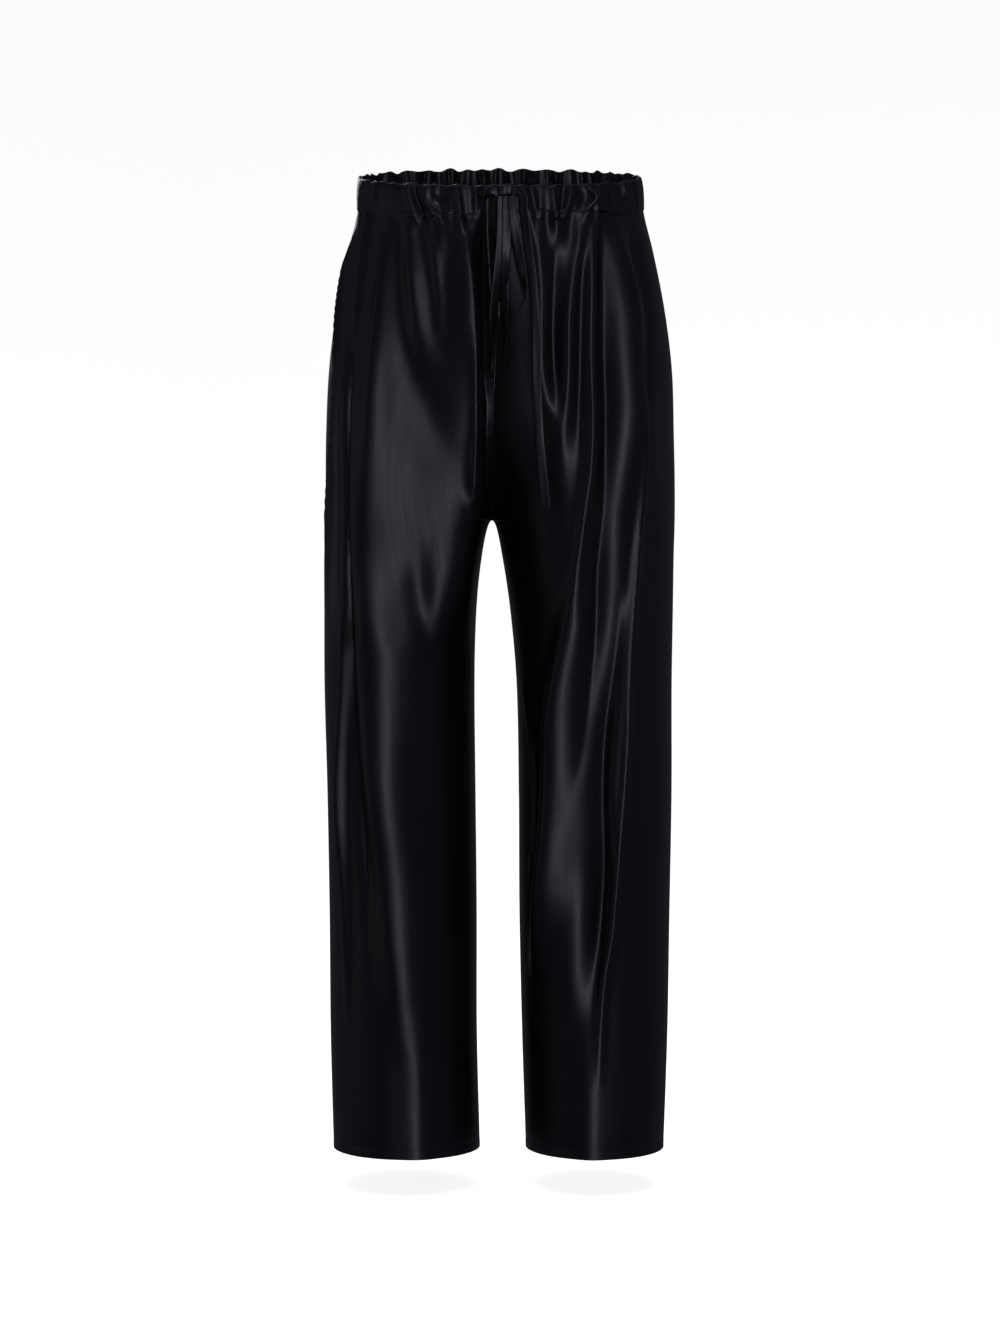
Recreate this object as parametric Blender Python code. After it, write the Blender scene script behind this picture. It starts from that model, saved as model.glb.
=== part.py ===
"""Pull-on satin trousers with a gathered casing at the waist and a ribbon drawstring tied in a bow.

The trousers keep the hollow form of a wearer. +Z is up, the front faces -Y, and the wearer's
left side is +X. The origin is the middle of the waist opening, where a wearer holds them up.
Tables are in millimetres, and everything built from them is in metres.
"""

import math
from collections import namedtuple

import bmesh
import bpy
import numpy as np
from mathutils.bvhtree import BVHTree

MM = 0.001

# Heights, measured down from the middle of the waist at the side seams
CASING_TOP = 11.0
CASING_BOTTOM = -23.0
FORK_TOP = -215.0
CROTCH = -352.0
ARCH_LENGTH = 100.0
BLEND_TOP = -50.0
HIP_SQUARE = 0.18
FORK_LATE = 0.55
CLEFT_TURN = 0.55
ARCH_SOFT = 130.0
ARCH_REACH = 60.0
HEM = -1020.5
HEM_TURN = 12.0

# The waistline stands lower in front than behind
WAIST_DIP = 20.0
DIP_END = -230.0

# Walls and gaps
CLOTH = 1.6
HEM_CLOTH = 2.4
CASING_OUT = 0.6
CASING_IN = 2.4
CASING_BULGE = 1.4
CASING_RIPPLE = 0.5
SEAM_GAP = 0.3
SEAM_EASE = 9.0
LEVEL_NORMAL_END = -110.0

# Columns and rows of the walls
FRONT_COLUMNS = 18
BACK_COLUMNS = 12
CASING_COLUMNS = 40
GATHER_END = -128.0

# One row for each height of the outline: the two side seams, the middle line between the legs,
# half the gap between the legs, and the front and back of the figure
Section = namedtuple("Section", "height right left middle gap front back")
SECTIONS = (
    Section(48, 142, 142, 0.0, 0.0, -100, 100),
    Section(11, 149, 149, 0.0, 0.0, -103, 103),
    Section(-23, 151, 152, 0.0, 0.0, -106, 108),
    Section(-64, 161, 162, 0.0, 0.0, -113, 122),
    Section(-128, 174, 175, -1.0, 0.0, -121, 138),
    Section(-193, 182, 183, -3.0, 0.0, -127, 147),
    Section(-257, 185, 185, -6.0, 0.0, -127, 146),
    Section(-352, 186, 186, -8.5, 0.0, -121, 132),
    Section(-385, 187, 185, -8.5, 10.0, -117, 123),
    Section(-450, 187, 184, -7.0, 18.2, -111, 113),
    Section(-514, 187, 183, -5.0, 22.0, -106, 107),
    Section(-642, 184, 183, -3.0, 23.0, -98, 100),
    Section(-771, 182, 181, -2.0, 22.7, -92, 94),
    Section(-899, 181, 179, -0.5, 24.0, -88, 90),
    Section(-1020, 178, 175, 3.0, 24.5, -86, 88),
)

# How square the front of each leg is where it is fullest, from 2, an ellipse, and where that is
FRONT_SQUARE = {-1: 4.6, 1: 2.0}
SQUARE_TOP = -150.0
SQUARE_RISE = 90.0
SQUARE_LOW = -390.0
SQUARE_FALL = 110.0
SQUARE_START = 0.5
SQUARE_END = 2.7

# The seam in front lies in a hollow, which is wider on the wearer's left
Hollow = namedtuple("Hollow", "height depth")
CENTRE_WIDE = {-1: 12.0, 1: 34.0}
CENTRE = (
    Hollow(-30, 0),
    Hollow(-90, 8),
    Hollow(-160, 17),
    Hollow(-230, 20),
    Hollow(-300, 12),
    Hollow(-352, 0),
)

# One row for each fold. Its line runs through three heights, and across is measured from the
# middle, negative on the wearer's right. A positive depth is a ridge and a negative one a trough
Fold = namedtuple("Fold", "top mid low across_top across_mid across_low wide_top wide_low depth")
FRONT_FOLDS = (
    # Wearer's right leg: the pressed fold beside the hip, the smooth thigh and the long leg ridge
    Fold(-20, -240, -620, -124, -144, -130, 8, 15, 6),
    Fold(-20, -286, -720, -138, -163, -146, 8, 12, -7),
    Fold(-420, -640, -860, -166, -162, -158, 14, 16, 4),
    Fold(-50, -270, -600, -112, -104, -110, 12, 34, 4),
    Fold(-400, -690, -1120, -119, -105, -80, 20, 26, 8),
    Fold(-520, -680, -830, -138, -130, -124, 12, 14, -5),
    Fold(-30, -150, -300, -99, -84, -48, 10, 16, -5),
    Fold(20, -75, -190, -88, -77, -62, 9, 12, 7),
    Fold(20, -70, -135, -57, -60, -66, 8, 8, 4),
    Fold(20, -115, -330, -38, -28, -24, 9, 12, 8),
    Fold(-420, -560, -700, -48, -44, -52, 14, 16, -4),
    # Wearer's left leg: the ridges that fan out from the casing and the two long folds below
    Fold(20, -121, -290, 24, 44, 60, 9, 13, 7),
    Fold(25, -50, -110, 56, 58, 58, 9, 9, 4),
    Fold(-60, -163, -260, 54, 57, 60, 9, 13, -6),
    Fold(20, -200, -700, 97, 84, 70, 9, 15, 8),
    Fold(-10, -230, -460, 104, 107, 104, 8, 12, -7),
    Fold(0, -180, -400, 114, 129, 143, 11, 20, 8),
    Fold(-290, -585, -900, 152, 145, 112, 13, 14, 6),
    Fold(-220, -482, -850, 130, 118, 72, 12, 17, 7),
    Fold(-300, -472, -640, 109, 102, 92, 12, 13, -5),
    Fold(-790, -930, -1120, 108, 104, 110, 16, 20, 7),
    Fold(-520, -658, -810, 32, 42, 30, 12, 13, 5),
    Fold(-10, -150, -330, 158, 167, 172, 9, 13, 4),
    # Creases of the casing alone, each from its top edge to just under its seam
    Fold(30, -22, -66, -98, -92, -88, 6, 8, 3),
    Fold(30, -24, -70, -17, -14, -13, 6, 8, 3),
    Fold(30, -24, -70, 76, 66, 63, 6, 8, -3),
    Fold(30, -18, -60, 122, 124, 126, 6, 8, 3),
    Fold(30, -12, -50, 140, 143, 146, 6, 8, 3),
)
BACK_FOLDS = (
    Fold(-30, -300, -760, -118, -126, -112, 14, 26, 7),
    Fold(-30, -330, -700, -62, -84, -92, 12, 22, -6),
    Fold(-60, -260, -520, -34, -48, -62, 12, 24, 6),
    Fold(-380, -700, -1120, -92, -88, -96, 16, 26, 7),
    Fold(-560, -720, -900, -128, -132, -138, 10, 14, -5),
    Fold(-30, -280, -690, 110, 122, 120, 14, 26, 7),
    Fold(-30, -310, -740, 70, 88, 86, 12, 22, -6),
    Fold(-60, -240, -500, 30, 44, 66, 12, 24, 6),
    Fold(-420, -720, -1120, 104, 98, 90, 16, 26, 7),
    Fold(-500, -690, -880, 136, 134, 128, 10, 14, -5),
)

# Gathers of the back, which the elastic draws up unevenly
BACK_GATHERS = 8
GATHER_STEP = 16.0
GATHER_START = 11.0
GATHER_WIDE = 7.0
GATHER_DEPTH = 4.2
GATHER_REACH = 70.0

# The drawstring: a flat ribbon of the same satin
RIBBON_WIDE = 9.0
RIBBON_THICK = 1.2
KNOT_WIDE = 16.0
KNOT_TALL = 12.0
KNOT_THICK = 7.0
KNOT_ACROSS = 6.0
KNOT_HEIGHT = -14.0
KNOT_ROUND = 2.5
RIBBON_STATIONS = 32
KNOT_CROWDING = 1.35
NEAR_RIBBON = 6.0
RAY_START = -400.0

# One row for each point of a ribbon's route: across and height, how far its middle stands off
# the cloth, and how far its face is turned away from the front, in degrees
Point = namedtuple("Point", "across height off turn")
RIBBONS = {
    "tie_loop_long": (
        Point(1.5, -20.6, 3.4, 0),
        Point(1.0, -60, 5.0, 5),
        Point(-3.0, -105, 6.0, 20),
        Point(-7.5, -150, 6.5, 55),
        Point(-8.0, -176, 6.5, 80),
        Point(-5.0, -193, 6.5, 90),
        Point(-1.0, -199, 6.5, 90),
        Point(3.0, -194, 6.5, 90),
        Point(4.5, -176, 6.5, 85),
        Point(4.6, -150, 6.5, 60),
        Point(4.6, -105, 2.6, 5),
        Point(4.6, -60, 2.2, 0),
        Point(4.6, -20.6, 1.3, 0),
    ),
    "tie_loop_short": (
        Point(7.0, -20.6, 5.5, 0),
        Point(6.6, -60, 9.0, 0),
        Point(6.2, -95, 12.5, 25),
        Point(5.8, -118, 15.5, 80),
        Point(8.0, -131, 16.5, 90),
        Point(15.0, -138, 17.0, 90),
        Point(22.5, -134, 17.0, 90),
        Point(25.8, -122, 16.5, 80),
        Point(24.5, -106, 16.0, 50),
        Point(19.0, -75, 14.0, 15),
        Point(14.0, -46, 11.5, 0),
        Point(12.0, -20.6, 7.6, 0),
    ),
    "tie_tail_right": (
        Point(-2.8, -15, 4.5, 0),
        Point(-9.0, -14, 6.0, 20),
        Point(-15.5, -22, 6.5, 60),
        Point(-16.5, -50, 6.5, 75),
        Point(-15.5, -120, 6.0, 80),
        Point(-14.5, -196, 6.0, 70),
        Point(-10.5, -225, 5.0, 20),
        Point(-9.5, -248, 5.0, 20),
        Point(-11.5, -280, 6.0, 75),
        Point(-12.5, -315, 6.0, 80),
    ),
    "tie_tail_left": (
        Point(15.9, -13.5, 3.5, 0),
        Point(20.5, -15.4, 4.5, -10),
        Point(24.5, -36, 5.0, -20),
        Point(28.0, -65, 4.0, -15),
        Point(33.0, -100, 4.0, -12),
        Point(36.0, -135, 4.0, -10),
        Point(38.5, -224, 4.0, -8),
        Point(42.5, -290, 4.0, -10),
        Point(46.5, -332, 4.5, -18),
        Point(47.5, -341, 5.0, -22),
    ),
}

SATIN_BLACK = (0.006, 0.006, 0.008, 1.0)
SATIN_ROUGHNESS = 0.36


# Curves and blends


def smooth_through(stations, values, at):
    """Values at places between the stations, on a smooth curve through them."""
    stations, values = np.asarray(stations, float), np.asarray(values, float)
    slopes = np.gradient(values, stations)
    at = np.clip(at, stations[0], stations[-1])
    i = np.clip(np.searchsorted(stations, at, side="right") - 1, 0, len(stations) - 2)
    step = stations[i + 1] - stations[i]
    t = (at - stations[i]) / step
    start = values[i] * (1 + 2 * t) * (1 - t) ** 2 + slopes[i] * step * t * (1 - t) ** 2
    end = values[i + 1] * (3 - 2 * t) * t**2 + slopes[i + 1] * step * (t - 1) * t**2
    return start + end


def ease(t):
    """0 before 0, 1 after 1, and a smooth step between."""
    t = np.clip(t, 0.0, 1.0)
    return t * t * (3 - 2 * t)


def outline(column, height):
    """A column of the section table at any height."""
    rising = SECTIONS[::-1]
    return smooth_through([s.height for s in rising], [getattr(s, column) for s in rising], height)


def half_gap(height):
    """Half the gap between the legs, which opens as a round arch under the crotch."""
    below = [s for s in SECTIONS if s.height <= CROTCH]
    roots = [math.sqrt(CROTCH - s.height) for s in below]
    return smooth_through(roots, [s.gap for s in below], np.sqrt(np.maximum(CROTCH - height, 0)))


# The form of the cloth


def squareness(sign, facing, leg_turn, height):
    """The power of the curve round a leg at each place: 2 is an ellipse, and more is squarer."""
    down = ease((SQUARE_TOP - height) / SQUARE_RISE) * ease((height - SQUARE_LOW) / SQUARE_FALL + 1)
    round_leg = ease(leg_turn / SQUARE_START) * ease((SQUARE_END - leg_turn) / SQUARE_START)
    return 2 + (FRONT_SQUARE[sign] - 2) * down * round_leg * (facing > 0)


def base_point(sign, u, height):
    """A point of one half, with no folds: u runs from the front edge round the side to the back.

    The ring of the hips turns into the ring of the leg on the way down, and a cleft with a round
    floor opens between the legs, so that the crotch seam runs in a smooth curve.
    """
    side = sign * outline("left" if sign > 0 else "right", height)
    middle = outline("middle", height)
    gap = half_gap(height)
    soft_gap = gap * ease((CROTCH - height) / ARCH_SOFT)
    inner = middle + sign * soft_gap
    front, back = outline("front", height), outline("back", height)
    centre, deep = (front + back) / 2, (back - front) / 2
    turn = math.pi * u
    facing = np.sign(np.cos(turn))
    across, along = np.clip(np.sin(turn), 0, 1), abs(np.cos(turn))
    square = 1 - HIP_SQUARE * ease((CASING_BOTTOM - height) / (CASING_BOTTOM - CROTCH))
    body_x = middle + (side - middle) * across**square
    body_y = along**square
    leg_turn = 2 * np.arcsin(across)
    leg_x = (side + inner) / 2 - (side - inner) / 2 * np.cos(leg_turn)
    leg_x += sign * (gap - soft_gap) * (1 - ease(abs(leg_x - inner) / ARCH_REACH))
    near = leg_turn < math.pi / 2
    power = squareness(sign, facing, leg_turn, height)
    far_y = np.maximum(1 - abs(np.cos(leg_turn)) ** power, 0) ** (1 / power)
    leg_y = np.where(near, 1.0, far_y)
    blend = ease((BLEND_TOP - height) / (BLEND_TOP - CROTCH))
    fork = np.clip((FORK_TOP - height) / (FORK_TOP - CROTCH), 0.0, 1.0)
    late = np.clip((fork - FORK_LATE) / (1 - FORK_LATE), 0.0, 1.0)
    soft = fork + (1 - FORK_LATE) * late**2 * (1 - late)
    fork += (soft - fork) * ease(leg_turn / CLEFT_TURN)
    cleft = np.where(near, 1 - abs(fork * np.cos(leg_turn)) ** power, 1.0)
    deepness = ((1 - blend) * body_y + blend * leg_y) * np.maximum(cleft, 0) ** (1 / power)
    dip = WAIST_DIP * ease((height - DIP_END) / (CASING_BOTTOM - DIP_END))
    return np.stack(
        [
            (1 - blend) * body_x + blend * leg_x,
            centre - facing * deep * deepness,
            height - dip * np.cos(turn),
        ],
        axis=-1,
    )


def outward(sign, u, height):
    """The direction out of the cloth, level near the waist so that the casing's seam stays flat."""
    small, fine = 0.02, 1e-4
    down = base_point(sign, u, height - small) - base_point(sign, u, height + small)
    first, last = np.clip(u - fine, 0, 1), np.clip(u + fine, 0, 1)
    along = base_point(sign, last, height) - base_point(sign, first, height)
    normal = np.cross(down, along) * sign
    normal /= np.linalg.norm(normal, axis=-1, keepdims=True)
    level = ease((height - LEVEL_NORMAL_END) / (CASING_BOTTOM - LEVEL_NORMAL_END))
    normal[..., 2] *= 1 - level
    return normal / np.linalg.norm(normal, axis=-1, keepdims=True)


def back_gathers():
    """The short folds under the casing at the back, as uneven as an elastic draws them."""
    made = []
    for sign in (-1, 1):
        for i in range(BACK_GATHERS):
            across = sign * (GATHER_START + GATHER_STEP * i + 3.5 * math.sin(2.4 * i + sign))
            depth = GATHER_DEPTH * (1 + 0.35 * math.sin(1.7 * i + 2 * sign))
            low = CASING_BOTTOM + WAIST_DIP - GATHER_REACH * (1 + 0.5 * math.sin(2.9 * i + sign))
            spread = across * 1.08
            made.append(
                Fold(90, low + 30, low, across, across, spread, GATHER_WIDE, 1.4 * GATHER_WIDE, depth)
            )
    return made


def fold_depth(folds, sign, points):
    """How far the folds push each point of a panel out. Columns run from the inner edge outward."""
    depth = np.zeros(points.shape[:2])
    for row, line in enumerate(points):
        steps = np.linalg.norm(np.diff(line[:, :2], axis=0), axis=1)
        along = np.concatenate([[0.0], np.cumsum(steps)])
        across = sign * line[:, 0]
        for fold in folds:
            if fold.across_mid * sign < 0:
                continue
            t = (fold.top - line[:, 2]) / (fold.top - fold.low)
            if t.max() < 0 or t.min() > 1:
                continue
            at = smooth_through(
                (fold.low, fold.mid, fold.top),
                (fold.across_low, fold.across_mid, fold.across_top),
                line[:, 2],
            )
            place = np.interp(sign * at, across, along)
            wide = fold.wide_top + (fold.wide_low - fold.wide_top) * np.clip(t, 0, 1)
            strength = ease(t / 0.18) * ease((1 - t) / 0.4)
            depth[row] += fold.depth * strength * np.exp(-(((along - place) / wide) ** 2))
        seam = ease(along / SEAM_EASE) * ease((along[-1] - along) / SEAM_EASE)
        depth[row] *= seam
    return depth


def centre_hollow(sign, points, height):
    """How deep the hollow of the front seam is at each point of a front panel."""
    steps = np.linalg.norm(np.diff(points[..., :2], axis=1), axis=2)
    along = np.concatenate([np.zeros((len(points), 1)), np.cumsum(steps, axis=1)], axis=1)
    rising, depths = zip(*CENTRE[::-1])
    sink = smooth_through(rising, depths, height) * (height > CROTCH)
    return sink * np.exp(-along / CENTRE_WIDE[sign])


def panel_points(sign, face, heights, columns):
    """(points, outward directions) of one panel, from its inner edge to its side seam."""
    q = np.linspace(0.0, 1.0, columns + 1)
    u = q / 2 if face < 0 else 1 - q / 2
    u, height = np.meshgrid(u, np.asarray(heights, float))
    points = base_point(sign, u, height)
    normals = outward(sign, u, height)
    above = height[:, 0] >= CROTCH
    normals[above, 0, 0] = 0.0
    normals[above, 0, 2] -= 1e-6
    normals /= np.linalg.norm(normals, axis=-1, keepdims=True)
    folds = FRONT_FOLDS if face < 0 else list(BACK_FOLDS) + back_gathers()
    depth = fold_depth(folds, sign, points)
    if face < 0:
        depth -= centre_hollow(sign, points, height)
    points += normals * depth[..., None]
    return points, normals


def part_at_seams(points, sign, face, heights):
    """Moves a panel's edges back from its seams by half the gap."""
    half = SEAM_GAP / 2
    above = np.asarray(heights) >= CROTCH
    under = np.asarray(heights) <= CROTCH
    points[above, 0, 0] += sign * half
    points[under, 0, 1] += face * half
    points[:, -1, 1] += face * half
    return points


# Meshes


def add_strip(mesh, upper, lower):
    """Faces between two rows of vertices. The lower row may have half as many steps."""
    if len(upper) == len(lower):
        for j in range(len(upper) - 1):
            mesh.faces.new((upper[j], upper[j + 1], lower[j + 1], lower[j]))
        return
    for j in range(len(lower) - 1):
        a, b, c = upper[2 * j : 2 * j + 3]
        mesh.faces.new((a, b, lower[j]))
        mesh.faces.new((b, lower[j + 1], lower[j]))
        mesh.faces.new((b, c, lower[j + 1]))


def material(name):
    """Black satin, a little sheen and no metal."""
    found = bpy.data.materials.get(name)
    if found:
        return found
    made = bpy.data.materials.new(name)
    made.use_nodes = True
    shader = made.node_tree.nodes["Principled BSDF"]
    shader.inputs["Base Color"].default_value = SATIN_BLACK
    shader.inputs["Roughness"].default_value = SATIN_ROUGHNESS
    shader.inputs["Metallic"].default_value = 0.0
    return made


def finish(mesh, name, slot):
    """Turns a closed bmesh into a named object with its faces out."""
    bmesh.ops.recalc_face_normals(mesh, faces=mesh.faces)
    data = bpy.data.meshes.new(name)
    mesh.to_mesh(data)
    mesh.free()
    data.materials.append(material(slot))
    data.shade_smooth()
    made = bpy.data.objects.new(name, data)
    bpy.context.scene.collection.objects.link(made)
    return made


def wall(name, outer_rows, inner_rows, slot):
    """A closed wall between an outer and an inner sheet, each a list of rows of points."""
    mesh = bmesh.new()
    outer, inner = (
        [[mesh.verts.new(point * MM) for point in row] for row in rows]
        for rows in (outer_rows, inner_rows)
    )
    for sheet in (outer, inner):
        for upper, lower in zip(sheet, sheet[1:]):
            add_strip(mesh, upper, lower)
    for edge in (0, -1):
        add_strip(mesh, [row[edge] for row in outer], [row[edge] for row in inner])
        add_strip(mesh, outer[edge], inner[edge])
    return finish(mesh, name, slot)


def ring(name, loops, slot):
    """A closed ring from loops of points that go round its section."""
    mesh = bmesh.new()
    rows = [[mesh.verts.new(point * MM) for point in loop] for loop in loops]
    for a, b in zip(rows, rows[1:] + rows[:1]):
        add_strip(mesh, a + a[:1], b + b[:1])
    return finish(mesh, name, slot)


# The panels and the casing


def leg_heights():
    """(rows with gathers, rows below them), closer together round the crotch."""
    gathers = np.linspace(CASING_BOTTOM - SEAM_GAP, GATHER_END, 7)
    hips = np.linspace(GATHER_END, FORK_TOP, 4)[1:]
    fork = FORK_TOP + (CROTCH - FORK_TOP) * np.sin(np.linspace(0, math.pi / 2, 6))[1:]
    arch = CROTCH - ARCH_LENGTH * np.linspace(0, 1, 5)[1:] ** 2
    leg = np.linspace(CROTCH - ARCH_LENGTH, HEM + HEM_TURN, 9)[1:]
    return gathers, np.concatenate([hips, fork, arch, leg, [HEM + HEM_TURN - 0.8, HEM]])


def build_panel(name, sign, face):
    gathers, rest = leg_heights()
    columns = FRONT_COLUMNS if face < 0 else BACK_COLUMNS
    outer_rows, inner_rows = [], []
    for heights, columns in ((gathers, 2 * columns), (rest, columns)):
        points, normals = panel_points(sign, face, heights, columns)
        thick = np.where(heights < HEM + HEM_TURN - 0.1, HEM_CLOTH, CLOTH)
        outer = part_at_seams(points, sign, face, heights)
        outer_rows += list(outer)
        inner_rows += list(outer - normals * thick[:, None, None])
    return wall(name, outer_rows, inner_rows, "satin")


def casing_loop(height, out):
    """One loop of the casing, moved out of the cloth's form by out."""
    loop = []
    for sign, face in ((-1, -1), (-1, 1), (1, 1), (1, -1)):
        points, normals = panel_points(sign, face, [height], CASING_COLUMNS)
        lift = ease((height - CASING_BOTTOM) / (CASING_TOP - CASING_BOTTOM)) * CASING_RIPPLE
        base = base_point(sign, np.linspace(0, 0.5, CASING_COLUMNS + 1), height)
        pushed = np.linalg.norm((points[0] - base)[:, :2], axis=1) if face < 0 else 0.0
        row = points[0] + normals[0] * out
        row[:, 2] += lift * pushed
        toward_side = (sign < 0) == (face < 0)
        loop += list(row[:-1] if toward_side else row[::-1][:-1])
    return loop


def build_casing():
    """The elastic casing: a band of doubled cloth, a little fuller at half height."""
    levels = np.linspace(CASING_BOTTOM, CASING_TOP, 4)
    bulge = CASING_BULGE * np.sin(np.linspace(0, math.pi, 4))
    outer = [casing_loop(h, CASING_OUT + b) for h, b in zip(levels, bulge)]
    inner = [casing_loop(h, -CASING_IN - b / 2) for h, b in zip(levels[[3, 1, 0]], bulge[[3, 1, 0]])]
    return ring("waist_casing", outer + inner, "satin")


# The drawstring


def tree_of(objects):
    """The built cloth, for rays that look for its surface."""
    vertices, faces = [], []
    for cloth in objects:
        start = len(vertices)
        vertices += [vertex.co.copy() for vertex in cloth.data.vertices]
        faces += [[start + i for i in face.vertices] for face in cloth.data.polygons]
    return BVHTree.FromPolygons(vertices, faces)


def front_of(cloth, across, height, wide=NEAR_RIBBON, tall=NEAR_RIBBON):
    """The foremost cloth within a small window round a place."""
    found = 0.0
    for x in np.linspace(across - wide, across + wide, 9):
        for z in np.linspace(height - tall, height + tall, 9):
            place, *_ = cloth.ray_cast((x * MM, RAY_START * MM, z * MM), (0, 1, 0))
            if place:
                found = min(found, place.y / MM)
    return found


def knot_back(cloth):
    """The depth of the knot's back, just clear of the casing behind it."""
    half = KNOT_WIDE / 2 - KNOT_ROUND / 2, KNOT_TALL / 2 - KNOT_ROUND / 2
    return front_of(cloth, KNOT_ACROSS, KNOT_HEIGHT, *half) - SEAM_GAP


def ribbon_line(points, cloth):
    """(middles, width directions) of a ribbon that hangs down the front of the cloth."""
    steps = [0.0]
    for a, b in zip(points, points[1:]):
        steps.append(steps[-1] + math.hypot(b.across - a.across, b.height - a.height))
    at = steps[-1] * np.linspace(0, 1, RIBBON_STATIONS) ** KNOT_CROWDING
    across, height, off, turn = (
        smooth_through(steps, [getattr(p, column) for p in points], at)
        for column in ("across", "height", "off", "turn")
    )
    knot = knot_back(cloth)
    order = np.argsort(-height)
    fronts = np.array([front_of(cloth, x, z) for x, z in zip(across, height)])
    hung = np.empty_like(fronts)
    hung[order] = np.minimum.accumulate(np.minimum(fronts[order], knot))
    middles = np.stack([across, hung - off, height], axis=1)
    along = np.gradient(middles, axis=0)
    along /= np.linalg.norm(along, axis=1, keepdims=True)
    flat = np.stack([-along[:, 2], np.zeros(len(along)), along[:, 0]], axis=1)
    flat /= np.linalg.norm(flat, axis=1, keepdims=True)
    turn = np.radians(turn)[:, None]
    wide = flat * np.cos(turn) + np.cross(flat, along) * np.sin(turn)
    return middles, wide, np.cross(along, wide)


def build_ribbon(name, points, cloth):
    middles, wide, thick = ribbon_line(points, cloth)
    mesh = bmesh.new()
    rows = []
    for side, face in ((-1, -1), (1, -1), (1, 1), (-1, 1)):
        row = middles + side * wide * RIBBON_WIDE / 2 + face * thick * RIBBON_THICK / 2
        rows.append([mesh.verts.new(point * MM) for point in row])
    for a, b in zip(rows, rows[1:] + rows[:1]):
        add_strip(mesh, a, b)
    for end in (0, -1):
        mesh.faces.new([row[end] for row in rows])
    return finish(mesh, name, "tie_satin")


def build_knot(cloth):
    """The flat knot of the bow, a rounded block that rests on the casing."""
    mesh = bmesh.new()
    bmesh.ops.create_cube(mesh, size=1.0)
    for vert in mesh.verts:
        vert.co.x *= KNOT_WIDE * MM
        vert.co.y *= KNOT_THICK * MM
        vert.co.z *= KNOT_TALL * MM
    bmesh.ops.bevel(
        mesh,
        geom=mesh.edges[:],
        offset=KNOT_ROUND * MM,
        segments=2,
        affect="EDGES",
        profile=0.5,
    )
    made = finish(mesh, "tie_knot", "tie_satin")
    depth = knot_back(cloth) - KNOT_THICK / 2
    made.location = (KNOT_ACROSS * MM, depth * MM, KNOT_HEIGHT * MM)
    return made


def main():
    for found in list(bpy.data.objects):
        bpy.data.objects.remove(found)
    build_panel("back_right_leg", -1, 1)
    build_panel("back_left_leg", 1, 1)
    front = [build_panel("front_right_leg", -1, -1), build_panel("front_left_leg", 1, -1)]
    front.append(build_casing())
    cloth = tree_of(front)
    build_knot(cloth)
    for name, points in RIBBONS.items():
        build_ribbon(name, points, cloth)


main()
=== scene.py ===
"""The looks of the satin drawstring trousers: cloth with its folds, casing, seams, ribbon and light.

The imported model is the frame. +Z is up, the front faces -Y, and the wearer's left side is +X.
Tables are in millimetres, and everything built from them is in metres.
"""

import math
from collections import namedtuple

import bpy
import numpy as np
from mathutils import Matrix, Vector
from mathutils.bvhtree import BVHTree


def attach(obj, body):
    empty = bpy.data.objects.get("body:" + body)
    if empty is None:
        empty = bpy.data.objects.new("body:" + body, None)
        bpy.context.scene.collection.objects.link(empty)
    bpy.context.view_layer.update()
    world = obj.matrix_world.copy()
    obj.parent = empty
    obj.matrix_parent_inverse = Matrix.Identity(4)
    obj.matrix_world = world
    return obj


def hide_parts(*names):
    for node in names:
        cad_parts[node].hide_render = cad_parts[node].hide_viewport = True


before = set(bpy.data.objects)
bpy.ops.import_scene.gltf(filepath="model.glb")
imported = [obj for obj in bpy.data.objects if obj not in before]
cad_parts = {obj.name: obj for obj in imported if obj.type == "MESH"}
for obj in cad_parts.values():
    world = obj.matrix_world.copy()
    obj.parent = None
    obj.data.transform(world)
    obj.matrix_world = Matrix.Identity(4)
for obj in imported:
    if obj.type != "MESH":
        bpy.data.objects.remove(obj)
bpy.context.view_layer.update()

MM = 0.001
TINY = 1e-6

# The form, as in part.py: heights, the waist's slope, and the shape of the fork
CASING_TOP = 11.0
CASING_BOTTOM = -23.0
FORK_TOP = -215.0
CROTCH = -352.0
ARCH_LENGTH = 100.0
BLEND_TOP = -50.0
HIP_SQUARE = 0.18
FORK_LATE = 0.55
CLEFT_TURN = 0.55
ARCH_SOFT = 130.0
ARCH_REACH = 60.0
HEM = -1020.5
HEM_TURN = 12.0
WAIST_DIP = 20.0
DIP_END = -230.0
LEVEL_NORMAL_END = -110.0

Section = namedtuple("Section", "height right left middle gap front back")
SECTIONS = (
    Section(48, 142, 142, 0.0, 0.0, -100, 100),
    Section(11, 149, 149, 0.0, 0.0, -103, 103),
    Section(-23, 151, 152, 0.0, 0.0, -106, 108),
    Section(-64, 161, 162, 0.0, 0.0, -113, 122),
    Section(-128, 174, 175, -1.0, 0.0, -121, 138),
    Section(-193, 182, 183, -3.0, 0.0, -127, 147),
    Section(-257, 185, 185, -6.0, 0.0, -127, 146),
    Section(-352, 186, 186, -8.5, 0.0, -121, 132),
    Section(-385, 187, 185, -8.5, 10.0, -117, 123),
    Section(-450, 187, 184, -7.0, 18.2, -111, 113),
    Section(-514, 187, 183, -5.0, 22.0, -106, 107),
    Section(-642, 184, 183, -3.0, 23.0, -98, 100),
    Section(-771, 182, 181, -2.0, 22.7, -92, 94),
    Section(-899, 181, 179, -0.5, 24.0, -88, 90),
    Section(-1020, 178, 175, 3.0, 24.5, -86, 88),
)

# How square the front of each leg is where it is fullest, from 2, an ellipse, and where that is
FRONT_SQUARE = {-1: 4.6, 1: 2.0}
SQUARE_TOP = -150.0
SQUARE_RISE = 90.0
SQUARE_LOW = -390.0
SQUARE_FALL = 110.0
SQUARE_START = 0.5
SQUARE_END = 2.7

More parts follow.
